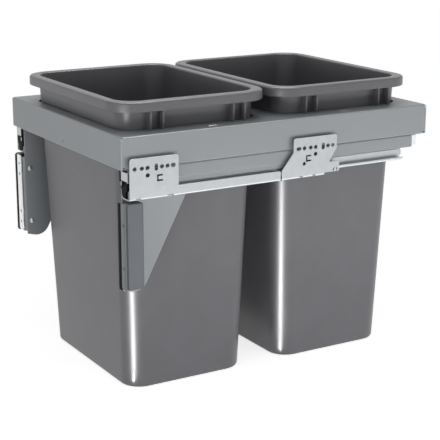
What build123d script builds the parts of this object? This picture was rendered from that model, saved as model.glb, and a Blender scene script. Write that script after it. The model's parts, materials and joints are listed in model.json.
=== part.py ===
from build123d import *
import os

os.makedirs("parts", exist_ok=True)

# Pull out waste unit for the inside of a base cabinet, in millimetres.
# X runs across the cabinet, Y from its front edge to its back, Z up.
# Z = 0 is the row of fixing holes, X = 0 the middle and Y = 0 the front edge.

# Cabinet and its fixing pattern
CABINET_CLEAR_WIDTH = 418.6
SYSTEM_PITCH = 32.0
PRISM_SIDES = 8
ROLLER_SIDES = 6
SLOT_END_CUT = 0.3
CORNER_CUT = 0.7
FIXING_SETBACK = 37.0
SECOND_SETBACK = 28.0
NOSE_SETBACK = 16.5
SLOT_SETBACK = 51.0
TAIL_SETBACK = 78.3
REAR_PITCHES = 9
FIXING_RADIUS = 3.2
SLOT_WIDTH = 5.6
SLOT_LENGTH = 10.5
LOWER_HOLE_DROP = 10.7
ROW_TO_TRAY_TOP = 45.5

# Clearances
BODY_GAP = 0.3
SCREW_GAP = 0.1
ROLL_GAP = 0.3

# Tray
TRAY_SIDE_GAP = 7.3
TRAY_DEPTH = 544.0
TRAY_WALL = 47.5
TRAY_SHEET = 1.5
TRAY_BEND = 2.4
TRAY_FLANGE = 18.0
TRAY_CORNER_NOTCH = 6.0
TRAY_SEAM = 0.6
TRAY_RELIEF_RADIUS = 1.6
TRAY_FRONT_HOLE_RADIUS = 2.2
TRAY_FRONT_HOLE_RISE = 7.6

# Bins
BIN_SIDE_MARGIN = 24.7
BIN_END_MARGIN = 7.3
BIN_SPACING_GAP = 8.0
BIN_RIM_RADIUS = 43.7
BIN_RIM_BAND = 14.8
BIN_RIM_OVERHANG = 14.2
BIN_RIM_CUT = 3.0
BIN_RIM_RISE = 42.5
BIN_HEIGHT = 448.1
BIN_SIDE_DRAFT = 32.45
BIN_END_DRAFT = 28.35
BIN_CORNER_RADIUS = 33.0
BIN_BASE_CUT = 5.0
BIN_WALL = 2.5
BIN_FOOT_RECESS = 3.0
BIN_FOOT_WIDTH = 14.0
BIN_APERTURE_GAP = 1.5
RIB_THICKNESS = 2.2
RIB_OUTER_INSET = 1.3
RIB_INNER_OFFSET = 60.0
RIB_OUTER_OFFSET = 80.0

# Drawer member, the channel under each tray wall
MEMBER_WIDTH = 17.0
MEMBER_HEIGHT = 19.0
MEMBER_SHEET = 1.5
MEMBER_BEND = 2.2
MEMBER_FRONT = 8.0
MEMBER_END_GAP = 27.0
SKIRT_DROP = 6.7
SKIRT_END = 280.0
HOOK_LENGTH = 8.0
HOOK_SHORTENING = 2.9

# Cabinet rail
RAIL_FRONT = 26.0
RAIL_END_GAP = 49.0
RAIL_SHEET = 1.5
RAIL_BEND = 2.2
RAIL_WEB_INSET = 2.5
RAIL_WEB_HEIGHT = 16.0
RAIL_TOP_GAP = 1.5
RAIL_TROUGH_WIDTH = 10.5
RAIL_LIP_HEIGHT = 9.5
RAIL_FOOT_LIP = 3.0

# Middle rail
MIDDLE_FRONT = 28.0
MIDDLE_END_GAP = 44.0
MIDDLE_SHEET = 1.2
MIDDLE_HEAD_HEIGHT = 9.0
MIDDLE_FOOT_HEIGHT = 8.0
MIDDLE_ROUND = 1.6

# Cages and rollers
ROLLER_DIAMETER = 3.0
SIDE_ROLLER_DIAMETER = 2.4
ROLLER_COUNT = 6
ROLLER_PITCH = 38.0
SIDE_ROLLER_HEIGHT = 4.5
CAGE_THICKNESS = 1.4
CAGE_BEND = 1.7
CAGE_END_MARGIN = 8.0
CAGE_START = 165.0
CAGE_LEG_SHORTENING = 1.5

# Brackets that screw to the cabinet side
BRACKET_SHEET = 1.5
BRACKET_BEND = 3.0
BRACKET_FRONT = 8.5
FRONT_PLATE_LENGTH = 78.5
FRONT_STRIP_LENGTH = 175.0
FRONT_STRIP_HEIGHT = 15.5
PLATE_RISE = 15.0
PLATE_CORNER = 4.0
BRACKET_DROP = 6.0
BRACKET_LIP_HEIGHT = 10.5
BRACKET_LIP_GAP = 1.0
REAR_PLATE_LEAD = 3.0
REAR_PLATE_LENGTH = 79.5
REAR_PLATE_RISE = 16.3
REAR_SHOULDER_DROP = 5.0
REAR_WAIST_DROP = 26.0
REAR_WAIST_INSET = 14.0
REAR_FOOT_LEAD = 24.0
REAR_FOOT_LENGTH = 78.0
REAR_FOOT_RISE = 12.0
REAR_OBLONG_SETBACK = 6.3
REAR_OBLONG_LENGTH = 8.5
REAR_LOW_HOLE_DROP = 24.0
REAR_LOW_HOLE_RADIUS = 2.8
TONGUE_WIDTH = 9.2
TONGUE_HEIGHT = 10.0
TONGUE_SLIT = 2.2
TONGUE_DROP = 11.0
FRONT_TONGUE_SETBACK = 56.5
REAR_TONGUE_SETBACK = 24.2
TAIL_SLOT_LENGTH = 7.6
REAR_TAB_END = 369.8
REAR_TAB_HEIGHT = 16.0
REAR_TAB_CUT_INSET = 3.8
REAR_TAB_CUT_DROP = 9.0
REAR_TAB_CUT_WIDTH = 8.0
REAR_TAB_CUT_HEIGHT = 6.0
BEND_NOTCH_DEPTH = 1.6
FRONT_NOTCHES = ((25.0, 33.0), (68.3, 78.4))
REAR_NOTCHES = ((295.7, 302.0), (319.5, 325.5))

# Studs between cabinet rail and brackets
STUD_RADIUS = 1.8
STUD_SHOULDER_RADIUS = 2.6
STUD_HEAD_RADIUS = 2.8
STUD_HEAD_HEIGHT = 1.2
STUD_END_MARGIN = 12.0

# Nose of the runner
CATCH_FRONT = 7.5
CATCH_LENGTH = 15.0
CATCH_SIDE_GAP = 0.5
CATCH_ROUND = 3.0
CLIP_SHEET = 1.2
CLIP_BEND = 1.8
CLIP_WING = 24.0
CLIP_HEIGHT = 13.0
CLIP_DROP = 3.5

# Gusset that carries the door
GUSSET_SHEET = 2.0
GUSSET_BEND = 3.0
GUSSET_FLANGE_GAP = 2.0
GUSSET_TOP_LENGTH = 136.0
GUSSET_TOP_FLANGE = 19.0
GUSSET_TOP_FLANGE_LEAD = 24.0
GUSSET_FRONT_FLANGE = 26.0
GUSSET_DEPTH = 192.5
GUSSET_TOE = 46.0
GUSSET_TOE_RISE = 22.0
GUSSET_HEEL_RISE = 8.0
GUSSET_CORNER = 14.0
GUSSET_FRONT_TOP_GAP = 5.5

# Door rail and toothed strip
DOOR_FACE_SETBACK = 2.0
DOOR_RAIL_SHEET = 2.0
DOOR_RAIL_WIDTH = 15.4
DOOR_RAIL_HEIGHT = 128.0
DOOR_RAIL_DROP = 50.3
DOOR_RAIL_ROUND = 3.0
DOOR_HOLE_RADIUS = 2.6
DOOR_HOLE_PITCHES = 2
DRIVER_RADIUS = 4.0
STRIP_WIDTH = 10.2
STRIP_OFFSET = 2.2
STRIP_THICKNESS = 1.9
TOOTH_COUNT = 16
TOOTH_PITCH = 8.0
TOOTH_LAND = 4.0
TOOTH_ROOT = 6.0
TOOTH_DEPTH = 0.7
HEIGHT_ADJUST = 3.0
HEIGHT_SCREW_RADIUS = 2.0
HEIGHT_SCREW_HEAD_RADIUS = 4.0
HEIGHT_SCREW_HEAD_HEIGHT = 2.2
HEIGHT_SCREW_SPACING = 100.0

# Cover over the door bracket
COVER_DEPTH = 27.0
COVER_FRONT = 3.0
COVER_HEIGHT = 128.0
COVER_TOP_DROP = 49.5
COVER_WALL = 1.8
COVER_WIDTH = 16.0
COVER_EDGE_CUT = 2.0
COVER_CORNER = 4.0
BOSS_RADIUS = 4.2
COVER_SCREW_SETBACK = 18.0
COVER_SCREW_TOP_DROP = 73.5
COVER_SCREW_SPACING = 90.0
COVER_SCREW_RADIUS = 1.8
COVER_SCREW_HEAD_RADIUS = 4.6
COVER_SCREW_HEAD_HEIGHT = 2.4
COVER_SCREW_LENGTH = 14.0
COVER_SCREW_DOME = 1.4

# Rivets through tray flange and drawer member
RIVET_RADIUS = 1.9
RIVET_HEAD_RADIUS = 3.8
RIVET_HEAD_HEIGHT = 1.2
RIVET_SETBACKS = (45.0, 125.0)
REAR_RIVET_INSETS = (304.0, 204.0, 44.0)

# Posts whose tongues show in the ledge
POST_WIDTH = 14.0
POST_SHEET = 1.5
POST_BEND = 2.0
POST_TONGUE = 6.0
POST_FOOT = 9.0
POST_SETBACKS = (158.3, 396.0)

# Levels and planes that follow from the sizes above
TRAY_WIDTH = CABINET_CLEAR_WIDTH - 2 * TRAY_SIDE_GAP
TRAY_TOP = ROW_TO_TRAY_TOP
TRAY_BOTTOM = TRAY_TOP - TRAY_WALL
LEDGE_UNDER = TRAY_TOP - TRAY_SHEET
WALL_PLANE = CABINET_CLEAR_WIDTH / 2
PLATE_INNER = WALL_PLANE - BRACKET_SHEET
MEMBER_OUT = TRAY_WIDTH / 2
MEMBER_IN = MEMBER_OUT - MEMBER_WIDTH
MEMBER_BOTTOM = TRAY_BOTTOM - MEMBER_HEIGHT
MEMBER_LENGTH = TRAY_DEPTH - MEMBER_FRONT - MEMBER_END_GAP
RAIL_LENGTH = TRAY_DEPTH - RAIL_FRONT - RAIL_END_GAP
MIDDLE_LENGTH = TRAY_DEPTH - MIDDLE_FRONT - MIDDLE_END_GAP
RUNNER_CENTRE = (MEMBER_OUT + MEMBER_IN) / 2
ROLL_SPACE = ROLLER_DIAMETER + 2 * ROLL_GAP
SIDE_SPACE = SIDE_ROLLER_DIAMETER + 2 * ROLL_GAP
HEAD_TOP = TRAY_BOTTOM - MEMBER_SHEET - ROLL_SPACE
HEAD_WIDTH = MEMBER_WIDTH - 2 * MEMBER_SHEET - 2 * SIDE_SPACE
RAIL_WEB_OUT = MEMBER_OUT - RAIL_WEB_INSET
RAIL_TOP = MEMBER_BOTTOM - RAIL_TOP_GAP
RAIL_BOTTOM = RAIL_TOP - RAIL_WEB_HEIGHT
RAIL_FLOOR = RAIL_BOTTOM + RAIL_SHEET
TROUGH_OUT = RAIL_WEB_OUT - RAIL_SHEET
TROUGH_IN = TROUGH_OUT - RAIL_TROUGH_WIDTH
TROUGH_CENTRE = (TROUGH_OUT + TROUGH_IN) / 2
LEG_SPACE = CAGE_THICKNESS + 2 * ROLL_GAP
FOOT_WIDTH = RAIL_TROUGH_WIDTH - 2 * LEG_SPACE
FOOT_BOTTOM = RAIL_FLOOR + ROLL_SPACE
BRACKET_FLOOR = RAIL_BOTTOM - BRACKET_DROP
BRACKET_BOTTOM = BRACKET_FLOOR - BRACKET_SHEET
GUSSET_OUT = MEMBER_OUT - TRAY_FLANGE - GUSSET_FLANGE_GAP
GUSSET_IN = GUSSET_OUT - GUSSET_SHEET
BRACKET_LIP_IN = GUSSET_OUT + BRACKET_LIP_GAP
DOOR_RAIL_BACK = DOOR_FACE_SETBACK + DOOR_RAIL_SHEET
GUSSET_FRONT = DOOR_RAIL_BACK + BODY_GAP
GUSSET_FRONT_BACK = GUSSET_FRONT + GUSSET_SHEET
FLANGE_TOP = TRAY_BOTTOM + TRAY_SHEET
BIN_RIM_WIDTH = TRAY_WIDTH - 2 * BIN_SIDE_MARGIN
BIN_RIM_DEPTH = (TRAY_DEPTH - BIN_SPACING_GAP) / 2 - BIN_END_MARGIN
BIN_BASE_WIDTH = BIN_RIM_WIDTH - 2 * BIN_SIDE_DRAFT
BIN_BASE_DEPTH = BIN_RIM_DEPTH - 2 * BIN_END_DRAFT
BIN_PITCH = BIN_RIM_DEPTH + BIN_SPACING_GAP
BIN_CENTRES = (TRAY_DEPTH / 2 - BIN_PITCH / 2, TRAY_DEPTH / 2 + BIN_PITCH / 2)
BIN_TOP = TRAY_TOP + BIN_RIM_RISE
BIN_BOTTOM = BIN_TOP - BIN_HEIGHT
NECK_WIDTH = BIN_RIM_WIDTH - 2 * BIN_RIM_OVERHANG
NECK_DEPTH = BIN_RIM_DEPTH - 2 * BIN_RIM_OVERHANG
CATCH_BACK = CATCH_FRONT + CATCH_LENGTH
REAR_OFFSET = REAR_PITCHES * SYSTEM_PITCH


def along_y(section, start, length):
    """Solid with an X-Z section, from Y = start towards the back."""
    return extrude(Plane.XZ.offset(-start) * section, amount=-length)


def along_z(section, bottom, height):
    """Solid with an X-Y section, from Z = bottom upwards."""
    return extrude(Plane.XY.offset(bottom) * section, amount=height)


def side_plate(outline, inner, thickness):
    """Plate with a Y-Z outline, from X = inner outwards."""
    return extrude(Plane.YZ.offset(inner) * outline, amount=thickness)


def folded(points, thickness, bend, side):
    """Section of a folded sheet, given the points of one of its faces."""
    return make_face(offset(FilletPolyline(*points, radius=bend), amount=thickness, side=side))


def cut_corner(before, corner, after, size):
    """Two points that replace a corner."""
    corner = Vector(*corner)
    return [
        corner + (Vector(*end) - corner).normalized() * size
        for end in (before, after)
    ]


def pressed(points, thickness, bend, side):
    """Section of a folded sheet with flat cuts in place of its round bends."""
    path = [Vector(*points[0])]
    for place in range(1, len(points) - 1):
        path += cut_corner(*points[place - 1:place + 2], bend * CORNER_CUT)
    path.append(Vector(*points[-1]))
    return make_face(offset(Polyline(*path), amount=thickness, side=side, kind=Kind.INTERSECTION))


def plate_outline(points, cuts):
    """Closed outline whose corners are cut by the given sizes."""
    path = []
    for place, size in enumerate(cuts):
        if size:
            following = points[(place + 1) % len(points)]
            path += cut_corner(points[place - 1], points[place], following, size * CORNER_CUT)
        else:
            path.append(Vector(*points[place]))
    return make_face(Polyline(*path, close=True))


def cut_rectangle(width, height, cut):
    """Rectangle with cut corners."""
    plain = Rectangle(width, height)
    return chamfer(plain.vertices(), cut * CORNER_CUT)


def block(x_range, y_range, z_range):
    """Box between two limits in each direction."""
    size = [high - low for low, high in (x_range, y_range, z_range)]
    middle = [(high + low) / 2 for low, high in (x_range, y_range, z_range)]
    return Pos(*middle) * Box(*size)


def rod_x(radius, x_range, y, z, sides=PRISM_SIDES):
    """Few-sided bar along X, in place of a small round one."""
    section = Pos(y, z) * RegularPolygon(radius, sides)
    return side_plate(section, x_range[0], x_range[1] - x_range[0])


def rod_y(radius, y_range, x, z, sides=PRISM_SIDES):
    """Few-sided bar along Y."""
    section = Pos(x, z) * RegularPolygon(radius, sides)
    return along_y(section, y_range[0], y_range[1] - y_range[0])


def rod_z(radius, z_range, x, y, sides=PRISM_SIDES):
    """Few-sided bar along Z."""
    section = Pos(x, y) * RegularPolygon(radius, sides)
    return along_z(section, z_range[0], z_range[1] - z_range[0])


def group(solids):
    """Separate solids kept in one node."""
    return Compound(children=[solid.solid() for solid in solids])


def mirrored(shape):
    """The same piece on the other side of the cabinet."""
    return mirror(shape, about=Plane.YZ)


def save(name, shape):
    """Write one node."""
    export_step(shape, f"parts/{name}.step")


def save_pair(name, shape):
    """Write a piece and its mirrored twin."""
    save(f"right_{name}", shape)
    save(f"left_{name}", mirrored(shape))


def rivet_points():
    """Where rivets join the tray flange and the drawer member."""
    front = [(RUNNER_CENTRE, y) for y in RIVET_SETBACKS]
    rear = [(RUNNER_CENTRE, TRAY_DEPTH - inset) for inset in REAR_RIVET_INSETS]
    return front, rear


def make_tray():
    """Folded ledge with two apertures, four walls and return flanges."""
    half = TRAY_WIDTH / 2
    outer = block((-half, half), (0, TRAY_DEPTH), (TRAY_BOTTOM, TRAY_TOP))
    outer = fillet(outer.edges().group_by(Axis.Z)[-1], TRAY_BEND)
    long_bottom = outer.edges().group_by(Axis.Z)[0].filter_by(Axis.Y)
    outer = chamfer(long_bottom, TRAY_BEND * CORNER_CUT)
    inside = half - TRAY_SHEET
    cavity = block(
        (-inside, inside),
        (TRAY_SHEET, TRAY_DEPTH - TRAY_SHEET),
        (FLANGE_TOP, LEDGE_UNDER),
    )
    cavity = chamfer(cavity.edges().filter_by(Axis.Y), TRAY_BEND - TRAY_SHEET)
    opening_half = half - TRAY_FLANGE
    opening = block(
        (-opening_half, opening_half),
        (TRAY_SHEET, TRAY_DEPTH - TRAY_SHEET),
        (TRAY_BOTTOM, FLANGE_TOP),
    )
    tray = outer - cavity - opening
    aperture = RectangleRounded(
        NECK_WIDTH + 2 * BIN_APERTURE_GAP,
        NECK_DEPTH + 2 * BIN_APERTURE_GAP,
        BIN_CORNER_RADIUS + BIN_APERTURE_GAP,
    )
    for centre in BIN_CENTRES:
        tray -= along_z(Pos(0, centre) * aperture, LEDGE_UNDER, TRAY_SHEET)
    for side in (-1, 1):
        for y, step in ((0, 1), (TRAY_DEPTH, -1)):
            seam_x = sorted((side * inside, side * (inside - TRAY_SEAM)))
            seam_y = sorted((y, y + step * TRAY_SHEET))
            tray -= block(seam_x, seam_y, (TRAY_BOTTOM, TRAY_TOP - TRAY_BEND))
            tray -= rod_z(
                TRAY_RELIEF_RADIUS,
                (TRAY_TOP - 2 * TRAY_BEND, TRAY_TOP),
                side * inside,
                y + step * TRAY_SHEET,
            )
            notch_x = sorted((side * opening_half, side * half))
            notch_y = sorted((y + step * TRAY_SHEET, y + step * TRAY_CORNER_NOTCH))
            tray -= block(notch_x, notch_y, (TRAY_BOTTOM, FLANGE_TOP + TRAY_BEND))
    hole_z = TRAY_BOTTOM + TRAY_FRONT_HOLE_RISE
    tray -= rod_y(TRAY_FRONT_HOLE_RADIUS, (0, TRAY_SHEET), 0, hole_z)
    front, rear = rivet_points()
    for x, y in front + rear:
        for side in (-1, 1):
            tray -= rod_z(RIVET_RADIUS + SCREW_GAP, (TRAY_BOTTOM, FLANGE_TOP), side * x, y)
    slot = post_tongue_slot()
    return tray - slot - mirrored(slot)


def post_upright():
    """Outer face of the posts that stand between tray flange and ledge."""
    return MEMBER_OUT - TRAY_FLANGE + POST_SHEET


def post_tongue_slot():
    """Slots in the ledge around the tongues of the posts."""
    tip = post_upright() - POST_SHEET - POST_TONGUE
    cuts = []
    for y in POST_SETBACKS:
        cuts.append(
            block(
                (tip - BODY_GAP, post_upright() + BODY_GAP),
                (y - POST_WIDTH / 2 - BODY_GAP, y + POST_WIDTH / 2 + BODY_GAP),
                (LEDGE_UNDER, TRAY_TOP),
            )
        )
    return Compound(children=cuts)


def make_ledge_posts():
    """Folded posts on the tray flange, whose tongues fill the ledge slots."""
    outer = post_upright()
    top = LEDGE_UNDER + POST_SHEET
    points = (
        (outer + POST_FOOT, FLANGE_TOP + POST_SHEET),
        (outer, FLANGE_TOP + POST_SHEET),
        (outer, top),
        (outer - POST_SHEET - POST_TONGUE, top),
    )
    section = pressed(points, POST_SHEET, POST_BEND, Side.LEFT)
    posts = [along_y(section, y - POST_WIDTH / 2, POST_WIDTH) for y in POST_SETBACKS]
    return posts + [mirrored(post) for post in posts]


def drafted_body(base_size, neck_size, z_range, radius):
    """Tapered body with flat sides and round corners."""
    low, high = z_range
    slices = []
    for base, neck in zip(base_size, neck_size):
        corners = ((-base / 2, low), (base / 2, low), (neck / 2, high), (-neck / 2, high))
        slices.append(make_face(Polyline(*corners, close=True)))
    across = extrude(Plane.XZ * slices[0], amount=neck_size[1], both=True)
    along = extrude(Plane.YZ * slices[1], amount=neck_size[0], both=True)
    body = across & along
    middle = (low + high) / 2
    slanted = [edge for edge in body.edges() if abs(edge.center().Z - middle) < BODY_GAP]
    return fillet(slanted, radius)


def make_bin(centre):
    """Tapered bin with a turned-down rim and ribs that sit on the ledge."""
    rim = RectangleRounded(BIN_RIM_WIDTH, BIN_RIM_DEPTH, BIN_RIM_RADIUS)
    base_size = (BIN_BASE_WIDTH, BIN_BASE_DEPTH)
    neck_size = (NECK_WIDTH, NECK_DEPTH)
    body_levels = (BIN_BOTTOM, BIN_TOP - BIN_WALL)
    outside = drafted_body(base_size, neck_size, body_levels, BIN_CORNER_RADIUS)
    outside = chamfer(outside.edges().group_by(Axis.Z)[0], BIN_BASE_CUT)
    band = along_z(rim, BIN_TOP - BIN_RIM_BAND, BIN_RIM_BAND)
    band = chamfer(band.edges().group_by(Axis.Z)[-1], BIN_RIM_CUT)
    band -= along_z(
        offset(rim, amount=-BIN_WALL), BIN_TOP - BIN_RIM_BAND, BIN_RIM_BAND - BIN_WALL
    )
    shell = band + outside
    rib_tip = BIN_RIM_WIDTH / 2 - RIB_OUTER_INSET
    for y in (RIB_INNER_OFFSET, RIB_OUTER_OFFSET):
        for place in (-y, y):
            shell += block(
                (-rib_tip, rib_tip),
                (place - RIB_THICKNESS / 2, place + RIB_THICKNESS / 2),
                (TRAY_TOP + BODY_GAP, BIN_TOP - BIN_WALL),
            )
    floor = BIN_BOTTOM + BIN_FOOT_RECESS + BIN_WALL
    inner_base = [size - 2 * BIN_WALL for size in base_size]
    inner_neck = [size - 2 * BIN_WALL for size in neck_size]
    inner_radius = BIN_CORNER_RADIUS - BIN_WALL
    shell -= drafted_body(inner_base, inner_neck, (floor, BIN_TOP), inner_radius)
    foot = RectangleRounded(
        BIN_BASE_WIDTH - 2 * BIN_FOOT_WIDTH,
        BIN_BASE_DEPTH - 2 * BIN_FOOT_WIDTH,
        BIN_CORNER_RADIUS - BIN_FOOT_WIDTH,
    )
    return Pos(0, centre, 0) * (shell - along_z(foot, BIN_BOTTOM, BIN_FOOT_RECESS))


def make_member():
    """Inverted channel under the tray wall."""
    points = (
        (MEMBER_OUT, MEMBER_BOTTOM),
        (MEMBER_OUT, TRAY_BOTTOM),
        (MEMBER_IN, TRAY_BOTTOM),
        (MEMBER_IN, MEMBER_BOTTOM),
    )
    section = pressed(points, MEMBER_SHEET, MEMBER_BEND, Side.LEFT)
    member = along_y(section, MEMBER_FRONT, MEMBER_LENGTH)
    member += block(
        (MEMBER_OUT - MEMBER_SHEET, MEMBER_OUT),
        (CATCH_BACK, SKIRT_END),
        (MEMBER_BOTTOM - SKIRT_DROP, MEMBER_BOTTOM),
    )
    front, rear = rivet_points()
    for x, y in front + rear:
        top = (TRAY_BOTTOM - MEMBER_SHEET, TRAY_BOTTOM)
        member -= rod_z(RIVET_RADIUS + SCREW_GAP, top, x, y)
    return member


def make_rear_hook():
    """Bright end piece behind the drawer member."""
    bottom = MEMBER_BOTTOM + HOOK_SHORTENING
    points = (
        (MEMBER_OUT, bottom),
        (MEMBER_OUT, TRAY_BOTTOM),
        (MEMBER_IN, TRAY_BOTTOM),
        (MEMBER_IN, bottom),
    )
    section = pressed(points, MEMBER_SHEET, MEMBER_BEND, Side.LEFT)
    return along_y(section, MEMBER_FRONT + MEMBER_LENGTH, HOOK_LENGTH)


def make_cabinet_rail():
    """Trough for the lower rollers, with a foot towards the cabinet side."""
    inner_points = (
        (RAIL_WEB_OUT, RAIL_TOP),
        (RAIL_WEB_OUT, RAIL_BOTTOM),
        (TROUGH_IN - RAIL_SHEET, RAIL_BOTTOM),
        (TROUGH_IN - RAIL_SHEET, RAIL_BOTTOM + RAIL_LIP_HEIGHT),
    )
    trough = pressed(inner_points, RAIL_SHEET, RAIL_BEND, Side.RIGHT)
    foot_points = (
        (TROUGH_OUT, RAIL_BOTTOM),
        (PLATE_INNER, RAIL_BOTTOM),
        (PLATE_INNER, RAIL_FLOOR + RAIL_FOOT_LIP),
    )
    foot = pressed(foot_points, RAIL_SHEET, RAIL_BEND, Side.LEFT)
    rail = along_y(trough + foot, RAIL_FRONT, RAIL_LENGTH)
    for x, y in stud_points():
        rail -= rod_z(STUD_RADIUS + SCREW_GAP, (RAIL_BOTTOM, RAIL_FLOOR), x, y)
    return rail


def stud_points():
    """Where studs join the cabinet rail to its two brackets."""
    x = (RAIL_WEB_OUT + PLATE_INNER - RAIL_SHEET) / 2
    strip_end = BRACKET_FRONT + FRONT_PLATE_LENGTH + FRONT_STRIP_LENGTH
    front = (RAIL_FRONT + STUD_END_MARGIN, strip_end - STUD_END_MARGIN)
    foot = REAR_OFFSET - REAR_FOOT_LEAD
    rear = (foot + STUD_END_MARGIN, foot + REAR_FOOT_LENGTH - STUD_END_MARGIN)
    return [(x, y) for y in front + rear]


def make_rail_studs():
    """Shouldered studs between rail foot and bracket floor."""
    studs = []
    for x, y in stud_points():
        stud = rod_z(STUD_RADIUS, (BRACKET_BOTTOM, RAIL_FLOOR), x, y)
        stud += rod_z(STUD_SHOULDER_RADIUS, (BRACKET_FLOOR, RAIL_BOTTOM), x, y)
        stud += rod_z(STUD_HEAD_RADIUS, (RAIL_FLOOR, RAIL_FLOOR + STUD_HEAD_HEIGHT), x, y)
        studs.append(stud)
    return studs


def make_middle_rail():
    """Closed rail with a head, a web and a foot."""
    head = Pos(RUNNER_CENTRE, HEAD_TOP - MIDDLE_HEAD_HEIGHT / 2) * cut_rectangle(
        HEAD_WIDTH, MIDDLE_HEAD_HEIGHT, MIDDLE_ROUND
    )
    foot = Pos(TROUGH_CENTRE, FOOT_BOTTOM + MIDDLE_FOOT_HEIGHT / 2) * cut_rectangle(
        FOOT_WIDTH, MIDDLE_FOOT_HEIGHT, MIDDLE_ROUND
    )
    web_top = HEAD_TOP - MIDDLE_HEAD_HEIGHT + MIDDLE_SHEET
    web_bottom = FOOT_BOTTOM + MIDDLE_FOOT_HEIGHT - MIDDLE_SHEET
    web_x = (RUNNER_CENTRE + TROUGH_CENTRE) / 2
    web = Pos(web_x, (web_top + web_bottom) / 2) * Rectangle(
        2 * MIDDLE_SHEET, web_top - web_bottom
    )
    head_hollow = offset(head, amount=-MIDDLE_SHEET, kind=Kind.INTERSECTION)
    foot_hollow = offset(foot, amount=-MIDDLE_SHEET, kind=Kind.INTERSECTION)
    section = (head - head_hollow) + (foot - foot_hollow) + web
    return along_y(section, MIDDLE_FRONT, MIDDLE_LENGTH)


def roller_stations():
    """Roller places along a cage."""
    first = CAGE_START + CAGE_END_MARGIN
    return [first + index * ROLLER_PITCH for index in range(ROLLER_COUNT)]


def cage_length():
    """Length of each cage around its rollers."""
    return 2 * CAGE_END_MARGIN + (ROLLER_COUNT - 1) * ROLLER_PITCH


def side_stations():
    """Places of the side rollers, half way between the others."""
    return [y + ROLLER_PITCH / 2 for y in roller_stations()[:-1:2]]


def make_upper_cage():
    """Cage over the head of the middle rail."""
    top = TRAY_BOTTOM - MEMBER_SHEET - (ROLL_SPACE - CAGE_THICKNESS) / 2
    side = (SIDE_SPACE - CAGE_THICKNESS) / 2
    outer = MEMBER_OUT - MEMBER_SHEET - side
    inner = MEMBER_IN + MEMBER_SHEET + side
    bottom = HEAD_TOP - MIDDLE_HEAD_HEIGHT + CAGE_LEG_SHORTENING
    points = ((outer, bottom), (outer, top), (inner, top), (inner, bottom))
    section = pressed(points, CAGE_THICKNESS, CAGE_BEND, Side.LEFT)
    cage = along_y(section, CAGE_START, cage_length())
    window = HEAD_WIDTH - 2 * CAGE_THICKNESS
    half = ROLLER_DIAMETER / 2 + ROLL_GAP
    for y in roller_stations():
        cage -= block(
            (RUNNER_CENTRE - window / 2, RUNNER_CENTRE + window / 2),
            (y - half, y + half),
            (top - CAGE_THICKNESS, top),
        )
    middle = HEAD_TOP - MIDDLE_HEAD_HEIGHT / 2
    tall = SIDE_ROLLER_HEIGHT / 2 + ROLL_GAP
    half = SIDE_ROLLER_DIAMETER / 2 + ROLL_GAP
    for y in side_stations():
        cage -= block((inner, outer), (y - half, y + half), (middle - tall, middle + tall))
    return cage


def make_upper_rollers():
    """Rollers on top of and beside the head of the middle rail."""
    reach = HEAD_WIDTH / 2 - CAGE_THICKNESS - ROLL_GAP
    z = TRAY_BOTTOM - MEMBER_SHEET - ROLL_SPACE / 2
    span = (RUNNER_CENTRE - reach, RUNNER_CENTRE + reach)
    rollers = []
    for y in roller_stations():
        rollers.append(
            rod_x(ROLLER_DIAMETER / 2, span, y, z, ROLLER_SIDES)
        )
    middle = HEAD_TOP - MIDDLE_HEAD_HEIGHT / 2
    tall = (middle - SIDE_ROLLER_HEIGHT / 2, middle + SIDE_ROLLER_HEIGHT / 2)
    for y in side_stations():
        for shift in (-1, 1):
            x = RUNNER_CENTRE + shift * (HEAD_WIDTH + SIDE_SPACE) / 2
            rollers.append(rod_z(SIDE_ROLLER_DIAMETER / 2, tall, x, y, ROLLER_SIDES))
    return rollers


def make_lower_cage():
    """Cage under the foot of the middle rail."""
    bottom = RAIL_FLOOR + (ROLL_SPACE - CAGE_THICKNESS) / 2
    outer = TROUGH_OUT - ROLL_GAP
    inner = TROUGH_IN + ROLL_GAP
    top = RAIL_BOTTOM + RAIL_LIP_HEIGHT - CAGE_LEG_SHORTENING
    points = ((outer, top), (outer, bottom), (inner, bottom), (inner, top))
    section = pressed(points, CAGE_THICKNESS, CAGE_BEND, Side.RIGHT)
    cage = along_y(section, CAGE_START, cage_length())
    reach = FOOT_WIDTH / 2 - ROLL_GAP
    half = ROLLER_DIAMETER / 2 + ROLL_GAP
    for y in roller_stations():
        cage -= block(
            (TROUGH_CENTRE - reach, TROUGH_CENTRE + reach),
            (y - half, y + half),
            (bottom, bottom + CAGE_THICKNESS),
        )
    return cage


def make_lower_rollers():
    """Rollers between the middle rail and the cabinet rail."""
    reach = FOOT_WIDTH / 2 - 2 * ROLL_GAP
    z = RAIL_FLOOR + ROLL_SPACE / 2
    span = (TROUGH_CENTRE - reach, TROUGH_CENTRE + reach)
    return [rod_x(ROLLER_DIAMETER / 2, span, y, z, ROLLER_SIDES) for y in roller_stations()]


def fixing_hole(y, z, radius):
    """Round hole that takes a fixing screw."""
    return Pos(y, z) * Circle(radius)


def spare_hole(y, z, radius):
    """Few-sided hole, in place of a round one that takes no screw."""
    return Pos(y, z) * RegularPolygon(radius, PRISM_SIDES)


def slot_hole(y, z, length, width, turn):
    """Slot with cut corners."""
    slot = Rectangle(length, width)
    slot = chamfer(slot.vertices(), width * SLOT_END_CUT)
    return Pos(y, z) * Rot(0, 0, turn) * slot


def tongue_slit(y, z):
    """Three-sided slit that leaves a spring tongue in a plate."""
    whole = Rectangle(TONGUE_WIDTH, TONGUE_HEIGHT)
    inner = Pos(TONGUE_SLIT, 0) * Rectangle(TONGUE_WIDTH, TONGUE_HEIGHT - 2 * TONGUE_SLIT)
    return Pos(y, z - TONGUE_HEIGHT / 2) * (whole - inner)


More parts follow.
